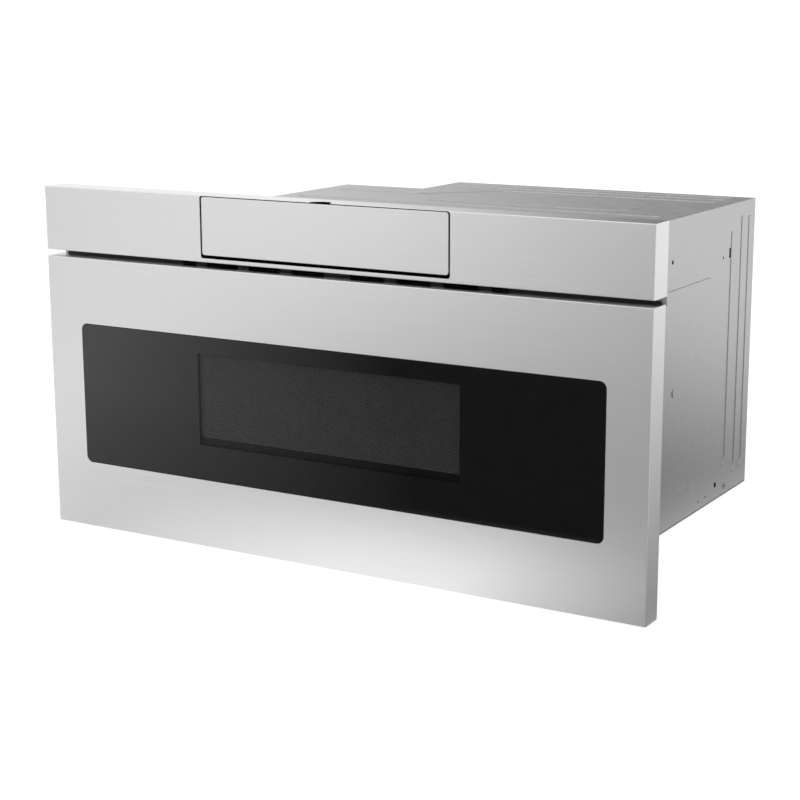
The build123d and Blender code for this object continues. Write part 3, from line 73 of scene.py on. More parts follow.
class Graph:
    """Adds and joins the nodes of one material or of the world."""

    def __init__(self, tree: bpy.types.NodeTree) -> None:
        """Keep the tree that is being built.

        Args:
            tree: The node tree of a material or of the world.
        """
        self.tree = tree
        self.coordinates = None

    def feed(self, socket: bpy.types.NodeSocket, value: object) -> None:
        """Join a socket to an input, or set the input's own value.

        Args:
            socket: The input.
            value: An output socket, a number or a colour.
        """
        if isinstance(value, bpy.types.NodeSocket):
            self.tree.links.new(value, socket)
        else:
            socket.default_value = value

    def node(self, kind: str, inputs: dict, **settings: object) -> bpy.types.Node:
        """Add a node.

        Args:
            kind: The node's type name without its ShaderNode prefix.
            inputs: Values or output sockets by input name or number.
            settings: Attributes of the node.

        Returns:
            The new node.
        """
        made = self.tree.nodes.new("ShaderNode" + kind)
        for key, value in settings.items():
            setattr(made, key, value)
        for key, value in inputs.items():
            self.feed(made.inputs[key], value)
        return made

    def place(self) -> bpy.types.NodeSocket:
        """Return the object coordinates in metres."""
        if self.coordinates is None:
            self.coordinates = self.node("TexCoord", {}).outputs["Object"]
        return self.coordinates

    def along(self, axis: Axis) -> bpy.types.NodeSocket:
        """Return one object coordinate.

        Args:
            axis: Which of the three.

        Returns:
            The coordinate's socket.
        """
        return self.node("SeparateXYZ", {0: self.place()}).outputs[axis.value]

    def maths(
        self, operation: str, first: object, second: object = 0.0, third: object = 0.0
    ) -> bpy.types.NodeSocket:
        """Add a Math node.

        Args:
            operation: The Math operation.
            first: First value or socket.
            second: Second value or socket.
            third: Third value or socket.

        Returns:
            The result's socket.
        """
        return self.node("Math", {0: first, 1: second, 2: third}, operation=operation).outputs[0]

    def noise(self, stretch: Triple, detail: float = 3.0) -> bpy.types.NodeSocket:
        """Add a noise on the object coordinates.

        Args:
            stretch: Features per metre along each axis.
            detail: The noise's detail.

        Returns:
            The noise's factor.
        """
        mapping = self.node("Mapping", {"Vector": self.place(), "Scale": stretch})
        return self.node(
            "TexNoise", {"Vector": mapping.outputs[0], "Scale": 1.0, "Detail": detail}
        ).outputs["Fac"]

    def spread(
        self, factor: bpy.types.NodeSocket, low: float, high: float, span: Span = (0.3, 0.7)
    ) -> bpy.types.NodeSocket:
        """Map a factor to a range and hold it there beyond the span's ends.

        Args:
            factor: The factor's socket.
            low: Result at the span's start.
            high: Result at the span's end.
            span: Start and end of the factor.

        Returns:
            The mapped value.
        """
        limits = {"From Min": span[0], "From Max": span[1], "To Min": low, "To Max": high}
        return self.node("MapRange", {"Value": factor, **limits}).outputs[0]

    def ramp(
        self, factor: bpy.types.NodeSocket, span: Span, colours: tuple[Colour, Colour]
    ) -> bpy.types.NodeSocket:
        """Turn a factor into a colour.

        Args:
            factor: The factor's socket.
            span: Where the first colour ends and where the second one begins.
            colours: The two colours.

        Returns:
            The colour's socket.
        """
        made = self.node("ValToRGB", {"Fac": factor})
        for element, position, colour in zip(made.color_ramp.elements, span, colours):
            element.position, element.color = position, (*colour, 1)
        return made.outputs["Color"]

    def between(self, factor: object, first: object, second: object) -> bpy.types.NodeSocket:
        """Mix two numbers.

        Args:
            factor: Zero for the first, one for the second.
            first: First number or socket.
            second: Second number or socket.

        Returns:
            The mixed number.
        """
        return self.node("Mix", {0: factor, 2: first, 3: second}, data_type="FLOAT").outputs[0]

    def blend(self, factor: object, first: object, second: object) -> bpy.types.NodeSocket:
        """Mix two colours.

        Args:
            factor: Zero for the first, one for the second.
            first: First colour or socket.
            second: Second colour or socket.

        Returns:
            The mixed colour.
        """
        return self.node("Mix", {0: factor, 6: first, 7: second}, data_type="RGBA").outputs[2]

    def for_camera(self, light: bpy.types.Node, shown: bpy.types.Node) -> bpy.types.NodeSocket:
        """Light with one shader and show another one to the camera.

        Args:
            light: The shader that lights the scene.
            shown: The shader that the camera sees.

        Returns:
            The mixed shader's socket.
        """
        ray = self.node("LightPath", {}).outputs["Is Camera Ray"]
        return self.node("MixShader", {0: ray, 1: light.outputs[0], 2: shown.outputs[0]}).outputs[0]


@dataclass(frozen=True)
class Finish:
    """A surface finish with mottled colour, uneven gloss and a fine bump."""

    name: str
    dark: Colour
    light: Colour
    metallic: float = 0.0
    roughness: Span = (0.4, 0.5)
    mottle: Triple = (60.0, 60.0, 60.0)
    grain: Triple = (900.0, 900.0, 900.0)
    bump: float = 0.05
    depth: float = 0.0002
    specular: float = 0.5
    contrast: Span = (0.32, 0.68)

    def start(self) -> tuple[bpy.types.Material, Graph, bpy.types.Node]:
        """Make the material with its constant values.

        Returns:
            The material, its graph and its shader node.
        """
        material = bpy.data.materials.new(self.name)
        material.use_nodes = True
        shader = material.node_tree.nodes["Principled BSDF"]
        shader.inputs["Metallic"].default_value = self.metallic
        shader.inputs["Specular IOR Level"].default_value = self.specular
        return material, Graph(material.node_tree), shader

    def colour(self, graph: Graph) -> bpy.types.NodeSocket:
        """Return the mottled base colour.

        Args:
            graph: The material's graph.

        Returns:
            The colour's socket.
        """
        return graph.ramp(graph.noise(self.mottle), self.contrast, (self.dark, self.light))

    def relief(self, graph: Graph) -> bpy.types.NodeSocket:
        """Return the height that the bump follows.

        Args:
            graph: The material's graph.

        Returns:
            The height's socket.
        """
        return graph.noise(self.grain, GRAIN_DETAIL)

    def build(self) -> bpy.types.Material:
        """Make the material.

        Returns:
            The finished material.
        """
        material, graph, shader = self.start()
        graph.feed(shader.inputs["Base Color"], self.colour(graph))
        worn = graph.spread(graph.noise(self.mottle, WEAR_DETAIL), *self.roughness)
        graph.feed(shader.inputs["Roughness"], worn)
        bumped = graph.node(
            "Bump", {"Height": self.relief(graph), "Strength": self.bump, "Distance": self.depth}
        )
        graph.feed(shader.inputs["Normal"], bumped.outputs[0])
        return material


@dataclass(frozen=True)
class Banded(Finish):
    """A finish in fine parallel bands, such as wire turns or stacked sheets, with painted shade in
    the grooves and painted highlights on the crests.
    """

    contrast: Span = (0.1, 0.7)
    axis: Axis = Axis.Z
    pitch: float = 0.001

    def relief(self, graph: Graph) -> bpy.types.NodeSocket:
        """Return the height that the bump follows.

        Args:
            graph: The material's graph.

        Returns:
            The height's socket.
        """
        turns = graph.maths("MULTIPLY", graph.along(self.axis), 2 * math.pi / self.pitch)
        return graph.spread(graph.maths("SINE", turns), 0.0, 1.0, (-1.0, 1.0))

    def colour(self, graph: Graph) -> bpy.types.NodeSocket:
        """Return the banded base colour: painted shade in the grooves and painted highlights on the
        crests.

        Args:
            graph: The material's graph.

        Returns:
            The colour's socket.
        """
        # The colour follows the relief: painted shade in the grooves, painted highlight on the
        # crests.
        return graph.ramp(self.relief(graph), self.contrast, (self.dark, self.light))


@dataclass(frozen=True)
class Zone:
    """A block of space that a finish treats apart, in metres."""

    low: Triple
    high: Triple

    def mask(self, graph: Graph) -> bpy.types.NodeSocket:
        """Return one inside the block and zero outside it.

        Args:
            graph: The material's graph.

        Returns:
            The mask's socket.
        """
        inside: object = 1.0
        for axis in Axis:
            near = graph.maths("GREATER_THAN", graph.along(axis), self.low[axis.value])
            far = graph.maths("LESS_THAN", graph.along(axis), self.high[axis.value])
            inside = graph.maths("MULTIPLY", inside, graph.maths("MULTIPLY", near, far))
        return inside


@dataclass(frozen=True)
class Patch:
    """A zone where a finish's colour takes a painted shade and which has its own metal and gloss.
    """

    zone: Zone
    shade: float
    metallic: float = 0.0
    roughness: float = 1.0


@dataclass(frozen=True)
class Patched(Finish):
    """A finish with zones of painted shade, blackened or darkened, and zones with their own polish.
    """

    patches: tuple[Patch, ...] = ()

    def colour(self, graph: Graph) -> bpy.types.NodeSocket:
        """Return the colour, darkened in each zone as painted shade.

        Args:
            graph: The material's graph.

        Returns:
            The colour's socket.
        """
        shown = Finish.colour(self, graph)
        for patch in self.patches:
            shade = graph.between(patch.zone.mask(graph), 1.0, patch.shade)
            scaled = graph.node("VectorMath", {0: shown, "Scale": shade}, operation="SCALE")
            shown = scaled.outputs[0]
        return shown

    def build(self) -> bpy.types.Material:
        """Make the material.

        Returns:
            The finished material.
        """
        material = Finish.build(self)
        graph = Graph(material.node_tree)
        shader = material.node_tree.nodes["Principled BSDF"]
        gloss: object = shader.inputs["Roughness"].links[0].from_socket
        metal: object = self.metallic
        for patch in self.patches:
            inside = patch.zone.mask(graph)
            gloss = graph.between(inside, gloss, patch.roughness)
            metal = graph.between(inside, metal, patch.metallic)
        graph.feed(shader.inputs["Roughness"], gloss)
        graph.feed(shader.inputs["Metallic"], metal)
        return material


@dataclass(frozen=True)
class Board(Finish):
    """A circuit board, green on its own plane and dark or pale on the parts that stand on it."""

    axis: Axis = Axis.Z
    face: float = 0.0
    reach: float = 0.0012
    parts: tuple[Colour, Colour] = ((0.02, 0.02, 0.022), (0.55, 0.5, 0.32))
    part_size: Triple = (45.0, 45.0, 45.0)
    part_span: Span = (0.5, 0.56)
    track: Colour = (0.5, 0.42, 0.2)
    tracks: float = 90.0
    track_width: float = 0.06

    def colour(self, graph: Graph) -> bpy.types.NodeSocket:
        """Return green copper tracks on the board and the colours of its parts.

        Args:
            graph: The material's graph.

        Returns:
            The colour's socket.
        """
        turn = 0.0 if self.axis is Axis.Z else math.pi / 2
        laid = graph.node("VectorRotate", {0: graph.place(), "Angle": turn}, rotation_type="Y_AXIS")
        brick = graph.node(
            "TexBrick",
            {
                "Vector": laid.outputs[0],
                "Color1": (*self.dark, 1),
                "Color2": (*self.light, 1),
                "Mortar": (*self.track, 1),
                "Scale": self.tracks,
                "Mortar Size": self.track_width,
            },
        )
        spots = graph.noise(self.part_size, 0.0)
        parts = graph.ramp(spots, self.part_span, self.parts)
        off = graph.maths("ABSOLUTE", graph.maths("SUBTRACT", graph.along(self.axis), self.face))
        standing = graph.maths("GREATER_THAN", off, self.reach)
        return graph.blend(standing, brick.outputs["Color"], parts)


@dataclass(frozen=True)
class ViewArea:
    """An upright rounded area of the window, in metres."""

    left: float = -0.1658
    right: float = 0.1687
    low: float = 0.1197
    high: float = 0.2247
    corner: float = 0.001

    def mask(self, graph: Graph) -> bpy.types.NodeSocket:
        """Return one inside the area and zero outside it.

        Args:
            graph: The material's graph.

        Returns:
            The mask's socket.
        """
        across = self.beyond(graph, Axis.X, self.left, self.right)
        upward = self.beyond(graph, Axis.Z, self.low, self.high)
        off = graph.node("CombineXYZ", {0: across, 1: upward})
        length = graph.node("VectorMath", {0: off.outputs[0]}, operation="LENGTH").outputs["Value"]
        return graph.maths("LESS_THAN", length, self.corner)

    def beyond(self, graph: Graph, axis: Axis, start: float, end: float) -> bpy.types.NodeSocket:
        """Return how far a point is past the area's straight stretch along one axis.

        Args:
            graph: The material's graph.
            axis: The axis.
            start: Where the area starts.
            end: Where it ends.

        Returns:
            The distance, zero within the stretch.
        """
        off = graph.maths("SUBTRACT", graph.along(axis), (start + end) / 2)
        reach = (end - start) / 2 - self.corner
        past = graph.maths("SUBTRACT", graph.maths("ABSOLUTE", off), reach)
        return graph.maths("MAXIMUM", past, 0.0)


@dataclass(frozen=True)
class ScreenEnamel(Finish):
    """Enamel of the perforated screen, grey in its field and black round it."""

    field: ViewArea = ViewArea(left=-0.1671, right=0.1735, low=0.1281, high=0.2325, corner=0.006)
    border: Colour = (0.003, 0.003, 0.003)

    def colour(self, graph: Graph) -> bpy.types.NodeSocket:
        """Return grey inside the field and black outside it.

        Args:
            graph: The material's graph.

        Returns:
            The colour's socket.
        """
        return graph.blend(self.field.mask(graph), (*self.border, 1), Finish.colour(self, graph))


@dataclass(frozen=True)
class Pane(Finish):
    """Glass that shows what is behind it, all over or in its view area."""

    clear: float = 0.5
    tint: Colour = (1.0, 1.0, 1.0)
    area: ViewArea | None = None

    def build(self) -> bpy.types.Material:
        """Make the material.

        Returns:
            The finished material.
        """
        material = Finish.build(self)
        graph = Graph(material.node_tree)
        shader = material.node_tree.nodes["Principled BSDF"]
        output = material.node_tree.nodes["Material Output"]
        passing = graph.node("BsdfTransparent", {"Color": (*self.tint, 1)})
        share: object = self.clear
        if self.area is not None:
            share = graph.maths("MULTIPLY", self.area.mask(graph), self.clear)
        mixed = graph.node("MixShader", {0: share, 1: shader.outputs[0], 2: passing.outputs[0]})
        graph.feed(output.inputs["Surface"], mixed.outputs[0])
        return material


SIDE = 0.5  # past either side of the drawer
END = 0.4  # past its front or its rear
UNDER = -0.1  # below its feet
OVER = 0.5  # above its top
AHEAD = -0.3  # in front of the front pieces
BEHIND = -0.2  # behind the front pieces
GAP_SHADE_LOW = 0.3285  # below the opening of the flap
SHEET_TOP = 0.4007  # just under the upper face of the fascia
PANEL_INSIDE = 0.2685  # inner face of the side panels
# The side panels' dark lower edge is painted shade.
RIM_TOP = 0.0036  # top of the side panels' dark lower edge

# Painted shade: the fascia's inside round the flap opening and the flap skin's edges, made near
# black where the gap's shade falls.
FLAP_GAP_PAINTED_SHADE = Patch(
    Zone((-0.157, -0.2881, GAP_SHADE_LOW), (0.157, BEHIND, SHEET_TOP)), shade=0.005
)
# Painted shade with a gloss of its own: the rear of the drawer's top ledge under the fascia is
# darkened where the fascia shades it, and polished.
DRAWER_LEDGE_SHADE_AND_GLOSS = Patch(
    Zone((-SIDE, -0.2795, 0.3202), (SIDE, BEHIND, 0.3209)), shade=0.55, metallic=0.9, roughness=0.14
)
FASCIA_TOP = Patch(
    Zone((-SIDE, -0.2876, SHEET_TOP), (SIDE, BEHIND, OVER)), shade=1.0, metallic=1.0, roughness=0.22
)
# Painted shade: a near black, matt band along the lower edge of each side panel, where the contact
# shade by the floor falls.
RIGHT_RIM_SHADE = Patch(Zone((PANEL_INSIDE, -END, UNDER), (SIDE, END, RIM_TOP)), shade=0.05)
LEFT_RIM_SHADE = Patch(Zone((-SIDE, -END, UNDER), (-PANEL_INSIDE, END, RIM_TOP)), shade=0.05)
# Painted shade: the backplate's front face behind the flap opening, made near black where the
# recess lies in shade.
BACKPLATE_PAINTED_SHADE = Patch(
    Zone((-0.18, AHEAD, GAP_SHADE_LOW), (0.18, -0.2568, SHEET_TOP)), shade=0.008
)
STRIP_SHADOW = Patch(
    Zone((-SIDE, AHEAD, 0.3), (SIDE, BEHIND, 0.3233)), shade=0.012, roughness=0.5
)
PANEL_PRINT = Finish("panel_print", (0.7, 0.72, 0.74), (0.8, 0.82, 0.84), roughness=(0.4, 0.5))

SLOT_FINISHES: dict[str, Finish] = {
    "stainless_front": Patched(
        "brushed_stainless",
        (0.75, 0.745, 0.745),
        (0.78, 0.775, 0.775),
        metallic=0.6,
        roughness=(0.33, 0.37),
        mottle=(6.0, 700.0, 700.0),
        grain=(20.0, 2600.0, 2600.0),
        bump=0.03,
        patches=(FLAP_GAP_PAINTED_SHADE, DRAWER_LEDGE_SHADE_AND_GLOSS, FASCIA_TOP),
    ),
    "galvanised_sheet": Patched(
        "galvanised_sheet",
        (0.43, 0.43, 0.432),
        (0.47, 0.47, 0.472),
        metallic=0.9,
        roughness=(0.32, 0.38),
        mottle=(70.0, 70.0, 70.0),
        grain=(420.0, 420.0, 420.0),
        bump=0.04,
        patches=(RIGHT_RIM_SHADE, LEFT_RIM_SHADE),
    ),
    "zinc_plated": Finish(
        "zinc_plate",
        (0.5, 0.51, 0.53),
        (0.6, 0.61, 0.63),
        metallic=1.0,
        roughness=(0.25, 0.4),
        mottle=(120.0, 120.0, 120.0),
        bump=0.04,
    ),
    "chamber_enamel": Finish(
        "grey_enamel",
        (0.5, 0.5, 0.48),
        (0.62, 0.62, 0.6),
        roughness=(0.25, 0.32),
        mottle=(900.0, 900.0, 900.0),
        grain=(260.0, 260.0, 260.0),
        bump=0.06,
    ),
    "box_steel": Finish(
        "satin_box_steel",
        (0.62, 0.62, 0.61),
        (0.68, 0.68, 0.67),
        metallic=1.0,
        roughness=(0.28, 0.36),
        mottle=(90.0, 8.0, 90.0),
        grain=(1500.0, 20.0, 1500.0),
        bump=0.05,
    ),
    "window_black": Pane(
        "tinted_window",
        (0.004, 0.004, 0.0045),
        (0.006, 0.006, 0.007),
        roughness=(0.02, 0.04),
        bump=0.0,
        specular=0.58,
        clear=0.5,
        area=ViewArea(),
    ),
    "inner_glass": Pane(
        "clear_pane",
        (0.02, 0.022, 0.022),
        (0.03, 0.032, 0.032),
        roughness=(0.02, 0.04),
        bump=0.0,
        clear=0.08,
        tint=(0.9, 0.94, 0.93),
    ),
    "screen_steel": ScreenEnamel(
        "screen_enamel", (0.62, 0.62, 0.62), (0.68, 0.68, 0.68), roughness=(0.4, 0.5), bump=0.05
    ),
    "touch_glass": Finish(
        "touch_glass", (0.006, 0.006, 0.007), (0.01, 0.01, 0.011), roughness=(0.03, 0.06), bump=0.0
    ),
    "floor_ceramic": Finish(
        "speckled_ceramic",
        (0.6, 0.59, 0.56),
        (0.8, 0.79, 0.76),
        roughness=(0.12, 0.2),
        mottle=(1300.0, 1300.0, 1300.0),
        grain=(120.0, 120.0, 120.0),
        bump=0.02,
    ),
    "black_plastic": Finish(
        "black_moulding",
        (0.012, 0.012, 0.013),
        (0.02, 0.02, 0.021),
        roughness=(0.4, 0.55),
        bump=0.12,
    ),
    "gear_plastic": Finish(
        "natural_acetal", (0.74, 0.73, 0.68), (0.8, 0.79, 0.74), roughness=(0.35, 0.45)
    ),
    "vent_paint": Patched(
        "vent_paint",
        (0.5, 0.5, 0.505),
        (0.6, 0.6, 0.605),
        roughness=(0.4, 0.5),
        bump=0.08,
        patches=(STRIP_SHADOW,),
    ),
    "mica": Finish(
        "mica_sheet",
        (0.6, 0.53, 0.4),
        (0.74, 0.68, 0.55),
        roughness=(0.3, 0.5),
        mottle=(160.0, 160.0, 160.0),
        bump=0.1,
    ),
    "aluminium_bare": Finish(
        "bare_aluminium",
        (0.68, 0.69, 0.7),
        (0.75, 0.76, 0.77),
        metallic=1.0,
        roughness=(0.25, 0.38),
        mottle=(200.0, 12.0, 200.0),
    ),
    "lamination_steel": Banded(
        "varnished_laminations",
        (0.05, 0.05, 0.055),
        (0.14, 0.14, 0.15),
        metallic=0.6,
        axis=Axis.X,
        bump=0.3,
    ),
    "copper_winding": Banded(
        "copper_turns",
        (0.3, 0.1, 0.04),
        (0.66, 0.3, 0.15),
        metallic=0.8,
        roughness=(0.25, 0.35),
        bump=0.5,
    ),
    "circuit_board": Board(
        "circuit_board",
        (0.03, 0.17, 0.07),
        (0.05, 0.24, 0.1),
        roughness=(0.3, 0.4),
        axis=Axis.X,
        face=0.2602,
    ),
    "motor_steel": Finish(
        "motor_can",
        (0.4, 0.4, 0.41),
        (0.5, 0.5, 0.51),
        metallic=0.9,
        roughness=(0.3, 0.45),
        mottle=(90.0, 90.0, 90.0),
    ),
    "switch_plastic": Finish("switch_moulding", (0.07, 0.07, 0.075), (0.1, 0.1, 0.105), bump=0.1),
    "button_plastic": Finish(
        "button_moulding", (0.6, 0.05, 0.04), (0.7, 0.07, 0.05), roughness=(0.3, 0.4)
    ),
    "lamp_parts": Finish("lamp_holder", (0.6, 0.6, 0.57), (0.7, 0.7, 0.67), metallic=0.7),
}

NODE_FINISHES: dict[str, Finish] = {
    # The backplate carries painted shade behind the flap opening.
    "fascia_backplate": replace(
        SLOT_FINISHES["galvanised_sheet"], name="backplate_painted_shade", patches=(BACKPLATE_PAINTED_SHADE,)
    ),
    "noise_filter": replace(
        SLOT_FINISHES["circuit_board"], name="filter_board", axis=Axis.Z, face=0.0121
    ),
    "control_board": replace(SLOT_FINISHES["circuit_board"], name="panel_board", reach=1.0),
}


def join(
    name: str, shape: bmesh.types.BMesh, finish: bpy.types.Material, body: str
) -> bpy.types.Object:
    """Turn a shape into a piece that rides on a body.

    Args:
        name: The piece's name.
        shape: Its shape, in its place.
        finish: Its material.
        body: The body that it moves with.

    Returns:
        The new piece.
    """
    mesh = bpy.data.meshes.new(name)
    shape.to_mesh(mesh)
    shape.free()
    mesh.materials.append(finish)
    piece = bpy.data.objects.new(name, mesh)
    bpy.context.scene.collection.objects.link(piece)
    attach(piece, body)
    log.info("made %s with %d faces", name, len(mesh.polygons))
    return piece


def repeat(shape: bmesh.types.BMesh, count: int, step: Vector) -> None:
    """Repeat everything in a shape in equal steps.

    Args:
        shape: The shape.
        count: How many there are in the end.
        step: The way from one to the next.
    """
    pattern = [*shape.verts, *shape.edges, *shape.faces]
    for index in range(1, count):
        copied = bmesh.ops.duplicate(shape, geom=pattern)["geom"]
        moved = [part for part in copied if isinstance(part, bmesh.types.BMVert)]
        bmesh.ops.translate(shape, verts=moved, vec=step * index)


@dataclass
class PerforatedScreen:
    """The perforated sheet behind the window, made in a left and a right half."""

    finish: bpy.types.Material
    pitch: float = 0.0022
    hole_radius: float = 0.00074
    columns: int = 77
    row_pairs: int = 26
    field_low: float = 0.1268
    thinning: float = 0.8
    corner: float = 0.008
    corner_steps: int = 6

    def cell(self, shape: bmesh.types.BMesh, centre: Vector) -> None:
        """Add a piece of sheet with a six-sided hole.

        Args:
            shape: The shape that it is added to.
            centre: The hole's centre.
        """
        turn = Matrix.Translation(centre) @ Matrix.Rotation(math.pi / 6, 4, "Z")
        hole, rim = (
            bmesh.ops.create_circle(shape, segments=HEXAGON, radius=radius, matrix=turn)["verts"]
            for radius in (self.hole_radius, self.pitch / 2)
        )
        for corner in rim:
            off = corner.co - centre
            sideways = 0.0 if abs(off.x) < self.pitch / 8 else math.copysign(self.pitch / 2, off.x)
            corner.co = centre + Vector((sideways, math.copysign(self.row / 2, off.y), 0.0))
        edges = {edge for vert in hole + rim for edge in vert.link_edges}
        bmesh.ops.bridge_loops(shape, edges=list(edges))

    @property
    def row(self) -> float:
        """Return the height of one row of holes."""
        return self.pitch * math.sqrt(3) / 2

    def half(self, side: int, low: Vector, high: Vector) -> bmesh.types.BMesh:
        """Build one half of the sheet, flat, in its x and z as x and y.

        Args:
            side: -1 for the left half, 1 for the right one.
            low: Lowest corner of the sheet.
            high: Highest corner of the sheet.

        Returns:
            The half's shape.
        """
        shape = bmesh.new()
        pitch, row = self.pitch, self.row
        self.cell(shape, Vector((pitch / 2, row / 2, 0)))
        self.cell(shape, Vector((pitch, row * 1.5, 0)))
        repeat(shape, self.columns, Vector((pitch, 0, 0)))
        start = (0.0, row) if side < 0 else (self.columns * pitch, 0.0)
        filler = [
            shape.verts.new((start[0] + across, start[1] + upward, 0))
            for across, upward in ((0, 0), (pitch / 2, 0), (pitch / 2, row), (0, row))
        ]
        shape.faces.new(filler)
        repeat(shape, self.row_pairs, Vector((0, 2 * row, 0)))
        bmesh.ops.remove_doubles(shape, verts=shape.verts, dist=pitch / 50)
        left = -self.columns * pitch if side < 0 else 0.0
        bottom = self.field_low
        bmesh.ops.translate(shape, verts=shape.verts, vec=(left, bottom, 0))
        outer = low.x if side < 0 else high.x
        edge = left if side < 0 else (self.columns + 0.5) * pitch
        self.widen(shape, Axis.X, edge, outer)
        self.widen(shape, Axis.Y, bottom, low.z)
        self.widen(shape, Axis.Y, bottom + 2 * self.row_pairs * row, high.z)
        ends = [
            vert
            for vert in shape.verts
            if abs(vert.co.x - outer) < SAME_LEVEL
            and min(vert.co.y - low.z, high.z - vert.co.y) < SAME_LEVEL
        ]
        bmesh.ops.bevel(
            shape,
            geom=ends,
            offset=self.corner,
            offset_type="OFFSET",
            affect="VERTICES",
            segments=self.corner_steps,
            profile=0.5,
            material=-1,
        )
        return shape

    def widen(self, shape: bmesh.types.BMesh, axis: Axis, edge: float, limit: float) -> None:
        """Extrude the plain border of the sheet from its perforated field.

        Args:
            shape: The sheet's shape.
            axis: The direction of the extrusion.
            edge: Where the field ends.
            limit: Where the border ends.
        """
        rim = [
            border
            for border in shape.edges
            if border.is_boundary
            and all(abs(vert.co[axis.value] - edge) < SAME_LINE for vert in border.verts)
        ]
        grown = bmesh.ops.extrude_edge_only(shape, edges=rim)["geom"]
        for part in grown:
            if isinstance(part, bmesh.types.BMVert):
                part.co[axis.value] = limit

    def build(self) -> None:
        """Make both halves in place of the plain CAD sheet."""
        low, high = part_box("perforated_screen")
        for side, label in ((-1, "left"), (1, "right")):
            shape = self.half(side, low, high)
            bmesh.ops.rotate(shape, verts=shape.verts, matrix=Matrix.Rotation(math.pi / 2, 3, "X"))
            bmesh.ops.translate(shape, verts=shape.verts, vec=(0, (low.y + high.y) / 2, 0))
            bmesh.ops.recalc_face_normals(shape, faces=shape.faces)
            piece = join(f"screen_{label}", shape, self.finish, "drawer")
            wall = piece.modifiers.new("sheet", "SOLIDIFY")
            wall.thickness = (high.y - low.y) * self.thinning
            wall.offset = 0.0
            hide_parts("perforated_screen")


@dataclass
class RearScrews:
    """Six pan-head screws with cross recesses that hold the rear panel."""

    finish: bpy.types.Material
    head_radius: float = 0.0036
    head_height: float = 0.0018
    shank_radius: float = 0.0019
    shank_length: float = 0.006
    crown: float = 0.0009
    arm: float = 0.0019
    slot: float = 0.00045
    recess: float = 0.001
    recess_taper: float = 0.8
    shank_taper: float = 0.7
    shank_sides: int = 20
    crown_steps: int = 4
    middle_x: float = 0.04
    first_turn: float = 0.4
    turn_rate: float = 40.0

    def screw(self) -> bmesh.types.BMesh:
        """Build one screw with its head up and the underside of the head at zero.

        Returns:
            The screw's shape.
        """
        shape = bmesh.new()
        bmesh.ops.create_cone(
            shape,
            cap_ends=True,
            segments=CIRCLE_SIDES,
            radius1=self.head_radius,
            radius2=self.head_radius,
            depth=self.head_height,
            matrix=Matrix.Translation((0, 0, self.head_height / 2)),
        )
        top = self.head_height - SAME_LEVEL
        rim = [edge for edge in shape.edges if all(vert.co.z > top for vert in edge.verts)]
        bmesh.ops.bevel(
            shape,
            geom=rim,
            offset=self.crown,
            affect="EDGES",
            segments=self.crown_steps,
            profile=0.5,
            material=-1,
        )
        for direction in ((1, 0, 0), (0, 1, 0)):
            for distance in (-self.arm, -self.slot, self.slot, self.arm):
                level = [
                    face for face in shape.faces if all(vert.co.z > top for vert in face.verts)
                ]
                cut = {part for face in level for part in (*face.verts, *face.edges)}
                bmesh.ops.bisect_plane(
                    shape,
                    geom=[*level, *cut],
                    plane_co=Vector(direction) * distance,
                    plane_no=direction,
                )
        cross = []
        for face in shape.faces:
            middle = face.calc_center_median()
            near, far = sorted((abs(middle.x), abs(middle.y)))
            on_top = all(vert.co.z > top for vert in face.verts)
            if on_top and near < self.slot and far < self.arm:
                cross.append(face)
        sunk = bmesh.ops.extrude_face_region(shape, geom=cross)["geom"]
        bottom = [part for part in sunk if isinstance(part, bmesh.types.BMVert)]
        bmesh.ops.delete(shape, geom=cross, context="FACES")
        bmesh.ops.translate(shape, verts=bottom, vec=(0, 0, -self.recess))
        bmesh.ops.scale(shape, verts=bottom, vec=(self.recess_taper, self.recess_taper, 1))
        bmesh.ops.create_cone(
            shape,
            cap_ends=True,
            segments=self.shank_sides,
            radius1=self.shank_radius * self.shank_taper,
            radius2=self.shank_radius,
            depth=self.shank_length,
            matrix=Matrix.Translation((0, 0, -self.shank_length / 2)),
        )
        return shape

    def build(self) -> None:
        """Set the screws in the places that the CAD gives."""
        low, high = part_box("rear_screws")
        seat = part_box("rear_panel")[1].y
        rim = self.head_radius
        shape = bmesh.new()
        for x in (low.x + rim, self.middle_x, high.x - rim):
            for z in (low.z + rim, high.z - rim):
                one = self.screw()
                turn = Matrix.Rotation(self.first_turn + self.turn_rate * x, 3, "Z")
                bmesh.ops.rotate(one, verts=one.verts, matrix=turn)
                bmesh.ops.rotate(one, verts=one.verts, matrix=Matrix.Rotation(-math.pi / 2, 3, "X"))
                bmesh.ops.translate(one, verts=one.verts, vec=(x, seat, z))
                loose = bpy.data.meshes.new("loose_screw")
                one.to_mesh(loose)
                one.free()
                shape.from_mesh(loose)
                bpy.data.meshes.remove(loose)
        piece = join("rear_pan_screws", shape, self.finish, "chassis")
        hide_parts("rear_screws")


@dataclass(frozen=True)
class Mark:
    """An outline on the touch glass, filled where its line is half its radius or more."""

    radius: float
    sides: int = CIRCLE_SIDES
    turn: float = 0.0
    stretch: float = 1.0
    line: float = 0.0006


DISPLAY = Mark(0.0125, sides=4, turn=math.pi / 4, stretch=2.6, line=0.0005)
KEY = Mark(0.0062)
START = Mark(0.005, sides=3, line=0.0026)
STOP = Mark(0.0052, sides=4, turn=math.pi / 4, line=0.0026)
DRAWER_KEY = Mark(0.0098, line=0.0008)
OPEN = Mark(0.0052, sides=3, turn=math.pi / 2)
CLOSE = Mark(0.0052, sides=3, turn=-math.pi / 2)


